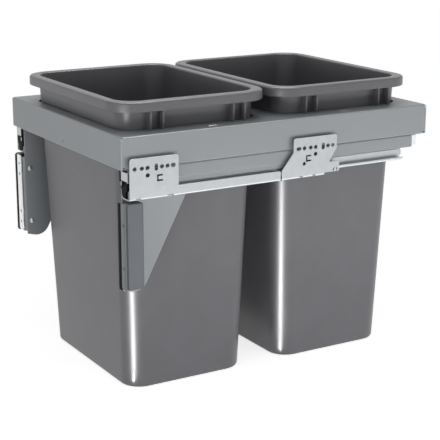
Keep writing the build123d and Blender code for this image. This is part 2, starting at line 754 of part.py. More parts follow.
def plate_cuts(offset_y):
    """Holes that both mounting plates share."""
    cuts = Sketch()
    for setback in (FIXING_SETBACK, SECOND_SETBACK):
        for pitch in (0, SYSTEM_PITCH):
            cuts += fixing_hole(offset_y + setback + pitch, 0, FIXING_RADIUS)
    cuts += spare_hole(offset_y + NOSE_SETBACK, 0, FIXING_RADIUS)
    cuts += slot_hole(offset_y + SLOT_SETBACK, 0, SLOT_LENGTH, SLOT_WIDTH, 90)
    cuts += spare_hole(offset_y + FIXING_SETBACK, -LOWER_HOLE_DROP, FIXING_RADIUS)
    return cuts


def bracket_floor(start, length):
    """Bent floor and lip below a mounting plate."""
    points = (
        (WALL_PLANE, BRACKET_BOTTOM + 2 * BRACKET_BEND),
        (WALL_PLANE, BRACKET_BOTTOM),
        (BRACKET_LIP_IN, BRACKET_BOTTOM),
        (BRACKET_LIP_IN, BRACKET_BOTTOM + BRACKET_LIP_HEIGHT),
    )
    section = pressed(points, BRACKET_SHEET, BRACKET_BEND, Side.RIGHT)
    floor = along_y(section, start, length)
    for x, y in stud_points():
        floor -= rod_z(STUD_RADIUS + SCREW_GAP, (BRACKET_BOTTOM, BRACKET_FLOOR), x, y)
    return floor


def tab_cut(y, top):
    """Arch-shaped slit near the end of the rear tab."""
    whole = Rectangle(REAR_TAB_CUT_WIDTH, REAR_TAB_CUT_HEIGHT)
    inner_width = REAR_TAB_CUT_WIDTH - 2 * TONGUE_SLIT
    inner = Pos(0, -TONGUE_SLIT) * Rectangle(inner_width, REAR_TAB_CUT_HEIGHT)
    return Pos(y, top - REAR_TAB_CUT_HEIGHT / 2) * (whole - inner)


def bend_notches(spans):
    """Shallow notches in the bend under a mounting plate."""
    low = BRACKET_BOTTOM
    return [
        block((PLATE_INNER - BRACKET_BEND, WALL_PLANE), span, (low, low + BEND_NOTCH_DEPTH))
        for span in spans
    ]


def make_front_bracket():
    """Mounting plate at the front, with its long low strip."""
    low = BRACKET_BOTTOM + BRACKET_BEND
    strip_top = BRACKET_BOTTOM + FRONT_STRIP_HEIGHT
    plate_end = BRACKET_FRONT + FRONT_PLATE_LENGTH
    strip_end = plate_end + FRONT_STRIP_LENGTH
    points = (
        (BRACKET_FRONT, low),
        (BRACKET_FRONT, PLATE_RISE),
        (plate_end, PLATE_RISE),
        (plate_end, strip_top),
        (strip_end, strip_top),
        (strip_end, low),
    )
    outline = plate_outline(points, (0,) + (PLATE_CORNER,) * 4 + (0,))
    width = 2 * FIXING_RADIUS
    plate = outline - plate_cuts(0)
    plate -= slot_hole(TAIL_SETBACK, 0, TAIL_SLOT_LENGTH, width, 0)
    plate -= tongue_slit(FRONT_TONGUE_SETBACK, -TONGUE_DROP)
    bracket = side_plate(plate, PLATE_INNER, BRACKET_SHEET)
    bracket += bracket_floor(BRACKET_FRONT, strip_end - BRACKET_FRONT)
    return bracket - bend_notches(FRONT_NOTCHES)


def make_rear_bracket():
    """Mounting plate at the rear, on a foot that starts in front of it."""
    low = BRACKET_BOTTOM + BRACKET_BEND
    foot = REAR_OFFSET - REAR_FOOT_LEAD
    start = REAR_OFFSET - REAR_PLATE_LEAD
    end = start + REAR_PLATE_LENGTH
    tab_low = -REAR_WAIST_DROP - REAR_TAB_HEIGHT
    points = (
        (foot, low),
        (foot, low + REAR_FOOT_RISE),
        (start, -REAR_SHOULDER_DROP),
        (start, REAR_PLATE_RISE),
        (end, REAR_PLATE_RISE),
        (end, -REAR_SHOULDER_DROP),
        (end - REAR_WAIST_INSET, -REAR_WAIST_DROP),
        (REAR_TAB_END, -REAR_WAIST_DROP),
        (REAR_TAB_END, tab_low),
        (foot + REAR_FOOT_LENGTH, tab_low),
        (foot + REAR_FOOT_LENGTH, low),
    )
    outline = plate_outline(points, (0,) + (PLATE_CORNER,) * 5 + (0,) * 5)
    plate = outline - plate_cuts(REAR_OFFSET)
    oblong = REAR_OFFSET + REAR_OBLONG_SETBACK
    plate -= slot_hole(oblong, 0, REAR_OBLONG_LENGTH, 2 * REAR_LOW_HOLE_RADIUS, 0)
    low_hole = REAR_OFFSET + NOSE_SETBACK
    plate -= spare_hole(low_hole, -REAR_LOW_HOLE_DROP, REAR_LOW_HOLE_RADIUS)
    plate -= tongue_slit(REAR_OFFSET + REAR_TONGUE_SETBACK, -TONGUE_DROP)
    cut_y = REAR_TAB_END - REAR_TAB_CUT_INSET - REAR_TAB_CUT_WIDTH / 2
    plate -= tab_cut(cut_y, -REAR_WAIST_DROP - REAR_TAB_CUT_DROP)
    bracket = side_plate(plate, PLATE_INNER, BRACKET_SHEET)
    bracket += bracket_floor(foot, REAR_FOOT_LENGTH)
    return bracket - bend_notches(REAR_NOTCHES)


def make_front_catch():
    """Dark block at the nose of the drawer member, plugged into its channel."""
    body = block(
        (BRACKET_LIP_IN + BRACKET_SHEET + CATCH_SIDE_GAP, MEMBER_OUT),
        (CATCH_FRONT, CATCH_BACK),
        (BRACKET_FLOOR + CATCH_SIDE_GAP, MEMBER_BOTTOM),
    )
    body = chamfer(body.edges().filter_by(Axis.Y).group_by(Axis.Z)[0], CATCH_ROUND)
    plug = block(
        (MEMBER_IN + MEMBER_SHEET, MEMBER_OUT - MEMBER_SHEET),
        (MEMBER_FRONT, CATCH_BACK),
        (MEMBER_BOTTOM, TRAY_BOTTOM - MEMBER_SHEET - BODY_GAP),
    )
    top_edges = plug.edges().filter_by(Axis.Y).group_by(Axis.Z)[-1]
    return body + chamfer(top_edges, MEMBER_BEND - MEMBER_SHEET)


def make_front_clip():
    """Bright clip folded around the nose of the drawer member."""
    outer = MEMBER_OUT + BODY_GAP + CLIP_SHEET
    front = MEMBER_FRONT - BODY_GAP - CLIP_SHEET
    points = ((MEMBER_IN, front), (outer, front), (outer, MEMBER_FRONT + CLIP_WING))
    section = folded(points, CLIP_SHEET, CLIP_BEND, Side.LEFT)
    return along_z(section, TRAY_BOTTOM - CLIP_DROP - CLIP_HEIGHT, CLIP_HEIGHT)


def make_gusset(column):
    """Plate that hangs from the tray; its front flange carries the door rail."""
    rise = FLANGE_TOP + GUSSET_SHEET
    top = rise - GUSSET_BEND
    bottom = FLANGE_TOP - GUSSET_DEPTH
    front = GUSSET_FRONT + GUSSET_BEND
    back = GUSSET_FRONT + GUSSET_TOP_LENGTH
    toe = GUSSET_FRONT + GUSSET_TOE
    outline = FilletPolyline(
        (front, top),
        (back, top),
        (toe, bottom + GUSSET_TOE_RISE),
        (toe - GUSSET_TOE_RISE, bottom),
        (front, bottom + GUSSET_HEEL_RISE),
        radius=(0, 0, GUSSET_CORNER, GUSSET_CORNER, 0),
        close=True,
    )
    gusset = side_plate(make_face(outline), GUSSET_IN, GUSSET_SHEET)
    top_points = (
        (GUSSET_IN, top - GUSSET_BEND),
        (GUSSET_IN, rise),
        (GUSSET_IN + GUSSET_TOP_FLANGE, rise),
    )
    top_section = folded(top_points, GUSSET_SHEET, GUSSET_BEND, Side.RIGHT)
    flange_start = GUSSET_FRONT + GUSSET_TOP_FLANGE_LEAD
    gusset += along_y(top_section, flange_start, back - flange_start)
    front_points = (
        (GUSSET_IN, front + GUSSET_BEND),
        (GUSSET_IN, GUSSET_FRONT),
        (GUSSET_IN + GUSSET_FRONT_FLANGE, GUSSET_FRONT),
    )
    front_section = folded(front_points, GUSSET_SHEET, GUSSET_BEND, Side.LEFT)
    flange_low = bottom + GUSSET_HEEL_RISE
    flange_top = BRACKET_BOTTOM - GUSSET_FRONT_TOP_GAP
    gusset += along_z(front_section, flange_low, flange_top - flange_low)
    gusset -= along_y(flange_openings(column), GUSSET_FRONT, GUSSET_SHEET)
    for z in cover_screw_levels():
        span = (GUSSET_IN, GUSSET_OUT)
        gusset -= rod_x(COVER_SCREW_RADIUS + SCREW_GAP, span, COVER_SCREW_SETBACK, z)
    for y in RIVET_SETBACKS:
        gusset -= rod_z(RIVET_RADIUS + SCREW_GAP, (FLANGE_TOP, rise), RUNNER_CENTRE, y)
    return gusset


def flange_openings(column):
    """Slots for the height screws and openings for the door screws."""
    cuts = Sketch()
    width = 2 * (HEIGHT_SCREW_RADIUS + BODY_GAP)
    for z in height_screw_levels():
        cuts += slot_hole(column, z, width + 2 * HEIGHT_ADJUST, width, 90)
    for z in door_hole_levels():
        cuts += slot_hole(column, z, 2 * (DRIVER_RADIUS + HEIGHT_ADJUST), 2 * DRIVER_RADIUS, 90)
    return cuts


def door_rail_middle():
    """Level of the middle of the door rail."""
    return -DOOR_RAIL_DROP - DOOR_RAIL_HEIGHT / 2


def height_screw_levels():
    """Levels of the height screws of a door rail."""
    middle = door_rail_middle()
    return (middle - HEIGHT_SCREW_SPACING / 2, middle + HEIGHT_SCREW_SPACING / 2)


def door_hole_levels():
    """Levels of the holes that take the door screws."""
    middle = door_rail_middle()
    half = DOOR_HOLE_PITCHES * SYSTEM_PITCH / 2
    return (middle - half, middle + half)


def cover_screw_levels():
    """Levels of the screws that hold a cover."""
    return (-COVER_SCREW_TOP_DROP, -COVER_SCREW_TOP_DROP - COVER_SCREW_SPACING)


def make_door_rail(start):
    """Flat rail on the back of the door, with the same hand on both sides."""
    column = start + STRIP_WIDTH + DOOR_RAIL_WIDTH / 2
    plate = Pos(column, door_rail_middle()) * cut_rectangle(
        DOOR_RAIL_WIDTH, DOOR_RAIL_HEIGHT, DOOR_RAIL_ROUND
    )
    for z in door_hole_levels():
        plate -= fixing_hole(column, z, DOOR_HOLE_RADIUS)
    for z in height_screw_levels():
        plate -= spare_hole(column, z, HEIGHT_SCREW_RADIUS + SCREW_GAP)
    return along_y(plate, DOOR_FACE_SETBACK, DOOR_RAIL_SHEET)


def make_toothed_strip(start):
    """Dark strip with a row of teeth beside the door rail."""
    back = DOOR_FACE_SETBACK + STRIP_THICKNESS
    top = -DOOR_RAIL_DROP - STRIP_OFFSET
    points = [(back, top)]
    for index in range(TOOTH_COUNT):
        crest = top - index * TOOTH_PITCH
        points.append((DOOR_FACE_SETBACK, crest))
        points.append((DOOR_FACE_SETBACK, crest - TOOTH_LAND))
        points.append((DOOR_FACE_SETBACK + TOOTH_DEPTH, crest - TOOTH_ROOT))
    bottom = top - TOOTH_COUNT * TOOTH_PITCH
    points.append((DOOR_FACE_SETBACK, bottom))
    points.append((back, bottom))
    outline = make_face(Polyline(*points, close=True))
    return side_plate(outline, start, STRIP_WIDTH)


def make_height_screws(start):
    """Screws that clamp the door rail to the flange of the gusset."""
    column = start + STRIP_WIDTH + DOOR_RAIL_WIDTH / 2
    seat = GUSSET_FRONT_BACK + BODY_GAP
    screws = []
    for z in height_screw_levels():
        screw = rod_y(HEIGHT_SCREW_RADIUS, (DOOR_FACE_SETBACK, seat), column, z)
        head = (seat, seat + HEIGHT_SCREW_HEAD_HEIGHT)
        screw += rod_y(HEIGHT_SCREW_HEAD_RADIUS, head, column, z)
        screws.append(screw)
    return screws


def make_cover():
    """Thin cover over the door bracket, with two screw bosses."""
    out = WALL_PLANE - BODY_GAP
    inner = out - COVER_WALL
    back = COVER_FRONT + COVER_DEPTH
    bottom = -COVER_TOP_DROP - COVER_HEIGHT
    shell = block((out - COVER_WIDTH, out), (COVER_FRONT, back), (bottom, -COVER_TOP_DROP))
    shell = chamfer(shell.edges().filter_by(Axis.X), COVER_CORNER)
    shell = chamfer(shell.edges().group_by(Axis.X)[-1], COVER_EDGE_CUT)
    hollow = block(
        (out - COVER_WIDTH, inner),
        (COVER_FRONT - COVER_CORNER, back - COVER_WALL),
        (bottom + COVER_WALL, -COVER_TOP_DROP - COVER_WALL),
    )
    hollow = chamfer(hollow.edges().filter_by(Axis.X), COVER_CORNER - COVER_WALL / 2)
    hollow += block(
        (out - COVER_WIDTH, inner),
        (COVER_FRONT, GUSSET_FRONT_BACK + BODY_GAP),
        (bottom, -COVER_TOP_DROP),
    )
    shell -= hollow
    for z in cover_screw_levels():
        shell += rod_x(BOSS_RADIUS, (GUSSET_OUT, inner), COVER_SCREW_SETBACK, z)
        pilot = (GUSSET_OUT, GUSSET_IN + COVER_SCREW_LENGTH + BODY_GAP)
        shell -= rod_x(COVER_SCREW_RADIUS + SCREW_GAP, pilot, COVER_SCREW_SETBACK, z)
    return shell


def make_cover_screws():
    """Pan head screws through the gusset into the bosses of the cover."""
    screws = []
    for z in cover_screw_levels():
        head = rod_x(
            COVER_SCREW_HEAD_RADIUS,
            (GUSSET_IN - COVER_SCREW_HEAD_HEIGHT, GUSSET_IN),
            COVER_SCREW_SETBACK,
            z,
        )
        head = chamfer(head.edges().group_by(Axis.X)[0], COVER_SCREW_DOME)
        shank = (GUSSET_IN, GUSSET_IN + COVER_SCREW_LENGTH)
        screws.append(head + rod_x(COVER_SCREW_RADIUS, shank, COVER_SCREW_SETBACK, z))
    return screws


def make_tray_rivets():
    """Rivets through drawer member, tray flange and gusset flange."""
    rivets = []
    front, rear = rivet_points()
    foot = TRAY_BOTTOM - MEMBER_SHEET
    seats = [(x, y, FLANGE_TOP + GUSSET_SHEET) for x, y in front]
    seats += [(x, y, FLANGE_TOP) for x, y in rear]
    for x, y, seat in seats:
        rivet = rod_z(RIVET_RADIUS, (foot, seat), x, y)
        rivet += rod_z(RIVET_HEAD_RADIUS, (seat, seat + RIVET_HEAD_HEIGHT), x, y)
        rivets.append(rivet)
    return rivets + [mirrored(rivet) for rivet in rivets]


save("tray", make_tray())
save("ledge_posts", group(make_ledge_posts()))
save("tray_rivets", group(make_tray_rivets()))
save("front_bin", make_bin(BIN_CENTRES[0]))
save("rear_bin", make_bin(BIN_CENTRES[1]))

save_pair("drawer_member", make_member())
save_pair("rear_hook", make_rear_hook())
save_pair("front_catch", make_front_catch())
save_pair("front_clip", make_front_clip())
save_pair("middle_rail", make_middle_rail())
save_pair("upper_cage", make_upper_cage())
save_pair("upper_rollers", group(make_upper_rollers()))
save_pair("lower_cage", make_lower_cage())
save_pair("lower_rollers", group(make_lower_rollers()))
save_pair("cabinet_rail", make_cabinet_rail())
save_pair("front_bracket", make_front_bracket())
save_pair("rear_bracket", make_rear_bracket())
save_pair("rail_studs", group(make_rail_studs()))
save_pair("bracket_cover", make_cover())
save_pair("cover_screws", group(make_cover_screws()))

RAIL_SPAN = STRIP_WIDTH + DOOR_RAIL_WIDTH
RIGHT_START = WALL_PLANE - 2 * BODY_GAP - COVER_WALL - RAIL_SPAN
LEFT_START = -RIGHT_START - RAIL_SPAN
COLUMN_OFFSET = STRIP_WIDTH + DOOR_RAIL_WIDTH / 2

save("right_gusset", make_gusset(RIGHT_START + COLUMN_OFFSET))
save("left_gusset", mirrored(make_gusset(-LEFT_START - COLUMN_OFFSET)))
for side, start in (("right", RIGHT_START), ("left", LEFT_START)):
    save(f"{side}_door_rail", make_door_rail(start))
    save(f"{side}_toothed_strip", make_toothed_strip(start))
    save(f"{side}_height_screws", group(make_height_screws(start)))
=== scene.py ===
import json
import math
from collections import namedtuple

import bmesh
import bpy
from mathutils import Matrix, Vector


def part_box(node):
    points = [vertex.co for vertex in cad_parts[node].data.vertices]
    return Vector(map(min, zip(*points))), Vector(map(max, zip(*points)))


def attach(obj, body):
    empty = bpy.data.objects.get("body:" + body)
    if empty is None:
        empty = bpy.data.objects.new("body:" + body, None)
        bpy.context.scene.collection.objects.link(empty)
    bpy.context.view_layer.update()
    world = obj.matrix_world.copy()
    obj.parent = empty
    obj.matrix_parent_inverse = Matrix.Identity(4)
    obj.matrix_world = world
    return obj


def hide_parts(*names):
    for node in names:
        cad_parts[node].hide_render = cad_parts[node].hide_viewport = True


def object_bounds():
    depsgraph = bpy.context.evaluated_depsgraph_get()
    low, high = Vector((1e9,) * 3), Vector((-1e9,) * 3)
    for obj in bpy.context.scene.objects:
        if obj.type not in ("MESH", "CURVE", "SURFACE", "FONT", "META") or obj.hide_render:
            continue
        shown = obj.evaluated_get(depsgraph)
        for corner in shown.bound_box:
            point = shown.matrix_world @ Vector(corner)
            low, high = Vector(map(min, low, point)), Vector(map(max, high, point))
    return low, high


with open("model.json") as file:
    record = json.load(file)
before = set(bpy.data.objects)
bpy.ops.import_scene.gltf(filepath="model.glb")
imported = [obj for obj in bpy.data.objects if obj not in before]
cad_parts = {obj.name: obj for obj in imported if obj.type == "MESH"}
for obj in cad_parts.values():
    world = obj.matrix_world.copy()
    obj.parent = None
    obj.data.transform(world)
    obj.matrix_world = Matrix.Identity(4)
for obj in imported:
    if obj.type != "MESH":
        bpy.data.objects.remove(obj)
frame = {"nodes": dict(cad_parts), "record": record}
CAD_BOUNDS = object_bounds()
NODES = frame["nodes"]
MM = 0.001

# Camera, fitted to the photograph; it looks at a point beside the middle of the unit
CAMERA_AZIMUTH = math.radians(59.37)
CAMERA_ELEVATION = math.radians(14.93)
CAMERA_DISTANCE = 2.1479
CAMERA_LENS = 105.4
CAMERA_SENSOR = 36.0
CAMERA_CLIP = 20.0
CAMERA_SHIFT = 0.00656
CAMERA_TARGET = Vector(
    (
        math.cos(CAMERA_AZIMUTH) * CAMERA_SHIFT,
        math.sin(CAMERA_AZIMUTH) * CAMERA_SHIFT + 0.272,
        -0.1559,
    )
)

# ---------------------------------------------------------------- sizes from the frame
Box = namedtuple("Box", "left front low right back top")


def node_box(name):
    """Box of a node in the frame, in millimetres."""
    low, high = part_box(name)
    return Box(*(round(value / MM, 3) for value in (*low, *high)))


# Boxes of the right side's nodes; the left side mirrors them
FRONT_PLATE = node_box("right_front_bracket")
REAR_PLATE = node_box("right_rear_bracket")
MEMBER = node_box("right_drawer_member")
GUSSET = node_box("right_gusset")
COVER_SCREWS = node_box("right_cover_screws")
HEIGHT_SCREWS = node_box("right_height_screws")

# Sizes in millimetres, shared by several pieces
SHEET = 1.5
FOLD = 2.2
PLATE_INNER = FRONT_PLATE.right - SHEET
MEMBER_LOW = -21.0

# Radii of the screws' heads, and where the axes of the screws and of the door's holes are
COVER_HEAD, HEIGHT_HEAD = 4.6, 4.0
COVER_SCREW_DEPTH = (COVER_SCREWS.front + COVER_SCREWS.back) / 2
COVER_SCREW_LEVELS = (COVER_SCREWS.top - COVER_HEAD, COVER_SCREWS.low + COVER_HEAD)
HEIGHT_SCREW_LEVELS = (HEIGHT_SCREWS.top - HEIGHT_HEAD, HEIGHT_SCREWS.low + HEIGHT_HEAD)
DOOR_HOLE_LEVELS = (-82.3, -146.3)

# Straight stretch left beyond a bend, so that its arc fits
TINY = 0.01


# ---------------------------------------------------------------- materials
# Radii in metres that rounded edges are shaded with, and the depth of a grain
FINE_EDGE = 0.0004
PAINT_EDGE = 0.0008
# Width of the painted highlight that lightens the paint along its edges
HIGHLIGHT_EDGE = 0.0014
BUMP_DEPTH = 0.0001


def srgb(*levels):
    """Linear colour from 0-255 screen levels."""
    out = []
    for level in levels:
        c = level / 255.0
        out.append(c / 12.92 if c <= 0.04045 else ((c + 0.055) / 1.055) ** 2.4)
    return (*out, 1.0)


def new_material(name):
    """Empty node material with a Principled shader."""
    mat = bpy.data.materials.new(name)
    mat.use_nodes = True
    nodes = mat.node_tree.nodes
    nodes.clear()
    out = nodes.new("ShaderNodeOutputMaterial")
    shader = nodes.new("ShaderNodeBsdfPrincipled")
    mat.node_tree.links.new(shader.outputs["BSDF"], out.inputs["Surface"])
    return mat, mat.node_tree, shader


def object_coords(tree, scale):
    """Object coordinates, stretched by scale on each axis."""
    coords = tree.nodes.new("ShaderNodeTexCoord")
    mapping = tree.nodes.new("ShaderNodeMapping")
    mapping.inputs["Scale"].default_value = scale
    tree.links.new(coords.outputs["Object"], mapping.inputs["Vector"])
    return mapping.outputs["Vector"]


def noise(tree, vector, scale, detail=2.0, roughness=0.5):
    """Noise texture value."""
    node = tree.nodes.new("ShaderNodeTexNoise")
    node.inputs["Scale"].default_value = scale
    node.inputs["Detail"].default_value = detail
    node.inputs["Roughness"].default_value = roughness
    tree.links.new(vector, node.inputs["Vector"])
    return node.outputs["Fac"]


def clouded(tree, fac, colour, start, spread):
    """Colour that goes from darker to lighter by spread while fac goes from start to 1 - start."""
    node = tree.nodes.new("ShaderNodeValToRGB")
    dark, light = node.color_ramp.elements
    dark.position, dark.color = start, shade(colour, 1 - spread)
    light.position, light.color = 1 - start, shade(colour, 1 + spread)
    tree.links.new(fac, node.inputs["Fac"])
    return node.outputs["Color"]


def value_range(tree, fac, low, high):
    """Map 0-1 to low-high."""
    node = tree.nodes.new("ShaderNodeMapRange")
    node.inputs["To Min"].default_value = low
    node.inputs["To Max"].default_value = high
    tree.links.new(fac, node.inputs["Value"])
    return node.outputs["Result"]


def rounded_normal(tree, radius):
    """Normal that rounds sharp edges a little."""
    node = tree.nodes.new("ShaderNodeBevel")
    node.samples = 4
    node.inputs["Radius"].default_value = radius
    return node.outputs["Normal"]


def bump(tree, shader, height, strength, edge=FINE_EDGE):
    """Bump from a height value, over rounded edges."""
    node = tree.nodes.new("ShaderNodeBump")
    node.inputs["Strength"].default_value = strength
    node.inputs["Distance"].default_value = BUMP_DEPTH
    tree.links.new(height, node.inputs["Height"])
    tree.links.new(rounded_normal(tree, edge), node.inputs["Normal"])
    tree.links.new(node.outputs["Normal"], shader.inputs["Normal"])


def shade(colour, factor):
    """Colour made lighter or darker."""
    return tuple(min(1.0, c * factor) for c in colour[:3]) + (1.0,)


def plastic(name, colour, rough, grain, spread=0.05, gloss=0.5):
    """Moulded plastic with a fine grain and faint mottling."""
    mat, tree, shader = new_material(name)
    coords = object_coords(tree, (1, 1, 1))
    cloud = noise(tree, coords, 22.0, 3.0)
    tree.links.new(clouded(tree, cloud, colour, 0.3, spread), shader.inputs["Base Color"])
    fine = noise(tree, coords, 1400.0, 2.0)
    tree.links.new(value_range(tree, cloud, rough - 0.03, rough + 0.03), shader.inputs["Roughness"])
    bump(tree, shader, fine, grain)
    shader.inputs["Specular IOR Level"].default_value = gloss
    return mat


def edge_mask(tree, radius):
    """0 on flat faces, rising to 1 along sharp edges."""
    flat = tree.nodes.new("ShaderNodeNewGeometry")
    dot = tree.nodes.new("ShaderNodeVectorMath")
    dot.operation = "DOT_PRODUCT"
    tree.links.new(rounded_normal(tree, radius), dot.inputs[0])
    tree.links.new(flat.outputs["Normal"], dot.inputs[1])
    node = tree.nodes.new("ShaderNodeMapRange")
    node.inputs["From Min"].default_value = 0.995
    node.inputs["From Max"].default_value = 0.85
    tree.links.new(dot.outputs["Value"], node.inputs["Value"])
    return node.outputs["Result"]


def painted(name, colour, rough):
    """Powder coat with a faint orange peel, and a painted highlight that lightens it along the
    edges.
    """
    mat, tree, shader = new_material(name)
    coords = object_coords(tree, (1, 1, 1))
    cloud = noise(tree, coords, 9.0, 3.0)
    # Painted highlight: along sharp edges the colour is lightened 2.2 times
    mix = tree.nodes.new("ShaderNodeMix")
    mix.data_type = "RGBA"
    tree.links.new(edge_mask(tree, HIGHLIGHT_EDGE), mix.inputs["Factor"])
    tree.links.new(clouded(tree, cloud, colour, 0.3, 0.02), mix.inputs["A"])
    mix.inputs["B"].default_value = shade(colour, 2.2)
    tree.links.new(mix.outputs["Result"], shader.inputs["Base Color"])
    peel = noise(tree, coords, 900.0, 3.0)
    bump(tree, shader, peel, 0.1, PAINT_EDGE)
    tree.links.new(value_range(tree, peel, rough - 0.04, rough + 0.04), shader.inputs["Roughness"])
    shader.inputs["Metallic"].default_value = 0.15
    return mat


def zinc(name, colour, rough):
    """Bright zinc plate, drawn lengthwise, with faint cloudy spangle."""
    mat, tree, shader = new_material(name)
    coords = object_coords(tree, (1, 0.06, 1))
    streak = noise(tree, coords, 700.0, 3.0, 0.6)
    spangle = noise(tree, object_coords(tree, (1, 1, 1)), 90.0, 4.0, 0.6)
    tree.links.new(clouded(tree, spangle, colour, 0.25, 0.05), shader.inputs["Base Color"])
    roughness = value_range(tree, spangle, rough - 0.04, rough + 0.05)
    tree.links.new(roughness, shader.inputs["Roughness"])
    bump(tree, shader, streak, 0.06)
    shader.inputs["Metallic"].default_value = 0.85
    return mat


PAINT = painted("grey_powder_coat", srgb(150, 154, 157), 0.42)
BIN = plastic("bin_grey_plastic", srgb(105, 105, 109), 0.36, 0.06)
ZINC = zinc("zinc_plate", srgb(186, 189, 191), 0.32)
# Lighter and darker copies of the zinc: the left door rail takes the lighter one as a painted
# reflection, the right door rail and the front brackets' tab take the darker one as painted shade;
# the rear hooks and the height screws take them too
BRIGHT_ZINC_AND_SHEEN = zinc("bright_zinc_and_sheen", srgb(238, 239, 240), 0.28)
DULL_ZINC_AND_SHADE = zinc("dull_zinc_and_shade", srgb(118, 121, 124), 0.5)
BLACK = plastic("black_plastic", srgb(24, 25, 26), 0.5, 0.12, 0.1, 0.04)
COVER = plastic("cover_grey_plastic", srgb(105, 109, 113), 0.5, 0.10)
# Darker copy of the cover plastic, painted shade on the covers' rounded edges
COVER_EDGE_SHADE = plastic("cover_painted_edge_shade", srgb(72, 75, 78), 0.5, 0.10)
ROLLER = zinc("roller_steel", srgb(226, 227, 228), 0.2)
BY_SLOT = {
    "frame_paint": PAINT,
    "bin_plastic": BIN,
    "zinc": ZINC,
    "black_plastic": BLACK,
    "cover_plastic": COVER,
    "roller_steel": ROLLER,
}
SLOT_OF = {part["node"]: part["material_slot"] for part in frame["record"]["subparts"]}
BODY_OF = {
    node: body
    for body, nodes in frame["record"]["behaviour"]["bodies"].items()
    for node in nodes
}
for name, slot_name in SLOT_OF.items():
    NODES[name].data.materials.clear()
    NODES[name].data.materials.append(BY_SLOT[slot_name])


# ---------------------------------------------------------------- mesh helpers
def arc_points(centre, radius, start, end, steps):
    """Points along an arc, ends included."""
    u, v = centre
    turn = (end - start) / steps
    angles = [start + turn * i for i in range(steps + 1)]
    return [(u + radius * math.cos(angle), v + radius * math.sin(angle)) for angle in angles]


def round_corner(before, corner, after, radius, steps):
    """Points of the arc that rounds one corner of a path."""
    b, c, a = Vector(before), Vector(corner), Vector(after)
    back = (b - c).normalized()
    ahead = (a - c).normalized()
    angle = back.angle(ahead)
    reach = radius / math.tan(angle / 2)
    start = c + back * reach
    end = c + ahead * reach
    centre = c + (back + ahead).normalized() * (radius / math.sin(angle / 2))
    first = math.atan2(start.y - centre.y, start.x - centre.x)
    last = math.atan2(end.y - centre.y, end.x - centre.x)
    sweep = (last - first + math.pi) % (2 * math.pi) - math.pi
    return arc_points(centre, radius, first, first + sweep, steps)


def round_path(points, radii, closed, steps=6):
    """Path whose corners are rounded by the given radii."""
    out = []
    count = len(points)
    for i, point in enumerate(points):
        end = not closed and i in (0, count - 1)
        if end or not radii[i]:
            out.append(tuple(point))
        else:
            out += round_corner(points[i - 1], point, points[(i + 1) % count], radii[i], steps)
    return out


def sheet_section(points, thickness, bend, side):
    """Outline of a folded sheet: one face at points, the other thickness away."""
    vectors = [Vector(p) for p in points]
    normals = []
    for a, b in zip(vectors, vectors[1:]):
        way = (b - a).normalized()
        normals.append(Vector((-way.y, way.x)) * side * thickness)
    other = [vectors[0] + normals[0]]
    radii_a, radii_b = [0], [0]
    for i in range(1, len(vectors) - 1):
        one, two = normals[i - 1], normals[i]
        other.append(vectors[i] + (one + two) / (1 + one.dot(two) / thickness**2))
        way_in = (vectors[i] - vectors[i - 1]).normalized()
        way_out = (vectors[i + 1] - vectors[i]).normalized()
        turn = way_in.x * way_out.y - way_in.y * way_out.x
        inside = turn * side > 0
        radii_a.append(bend if inside else bend - thickness)
        radii_b.append(bend - thickness if inside else bend)
    other.append(vectors[-1] + normals[-1])
    radii_a.append(0)
    radii_b.append(0)
    return round_path(points, radii_a, False) + round_path(other, radii_b, False)[::-1]


def rectangle(u_range, v_range, radii):
    """Closed rectangle with rounded corners, the low ones first."""
    (left, right), (low, high) = u_range, v_range
    points = ((left, low), (right, low), (right, high), (left, high))
    return round_path(points, radii, True)


def circle(u, v, radius, steps=28):
    """Closed circle."""
    return arc_points((u, v), radius, 0, 2 * math.pi * (1 - 1 / steps), steps - 1)


def slot_ring(u, v, length, width, upright):
    """Closed slot with round ends."""
    half = (length - width) / 2
    radius = width / 2
    ends = arc_points((half, 0), radius, -math.pi / 2, math.pi / 2, 10)
    ends += arc_points((-half, 0), radius, math.pi / 2, 3 * math.pi / 2, 10)
    if upright:
        ends = [(-across, along) for along, across in ends]
    return [(u + along, v + across) for along, across in ends]


def plate_mesh(outline, holes, thickness, bevel):
    """Flat plate with holes and softened edges, in its own X-Y plane, middle at Z = 0."""
    curve = bpy.data.curves.new("plate", "CURVE")
    curve.dimensions = "2D"
    curve.fill_mode = "BOTH"
    for ring in [outline] + holes:
        spline = curve.splines.new("POLY")
        spline.points.add(len(ring) - 1)
        for target, (u, v) in zip(spline.points, ring):
            target.co = (u * MM, v * MM, 0, 1)
        spline.use_cyclic_u = True
    curve.extrude = thickness * MM / 2 - bevel * MM
    curve.bevel_depth = bevel * MM
    curve.bevel_resolution = 1
    curve.offset = -bevel * MM
    shape = bpy.data.objects.new("plate", curve)
    bpy.context.scene.collection.objects.link(shape)
    graph = bpy.context.evaluated_depsgraph_get()
    mesh = bpy.data.meshes.new_from_object(shape.evaluated_get(graph))
    bpy.data.objects.remove(shape)
    bpy.data.curves.remove(curve)
    return mesh


# Turns of a plate from its own X-Y plane into the Y-Z plane and into the X-Z plane
UPRIGHT = Matrix(((0, 0, 1, 0), (1, 0, 0, 0), (0, 1, 0, 0), (0, 0, 0, 1)))
FACING = Matrix(((1, 0, 0, 0), (0, 0, -1, 0), (0, 1, 0, 0), (0, 0, 0, 1)))


def side_plate(outline, holes, x, thickness, bevel=0.2):
    """Plate in the Y-Z plane, from x outwards."""
    mesh = plate_mesh(outline, holes, thickness, bevel)
    mesh.transform(Matrix.Translation(((x + thickness / 2) * MM, 0, 0)) @ UPRIGHT)
    return mesh


def front_plate(outline, holes, y, thickness, bevel=0.2):
    """Plate in the X-Z plane, from y backwards."""
    mesh = plate_mesh(outline, holes, thickness, bevel)
    mesh.transform(Matrix.Translation((0, (y + thickness / 2) * MM, 0)) @ FACING)
    return mesh


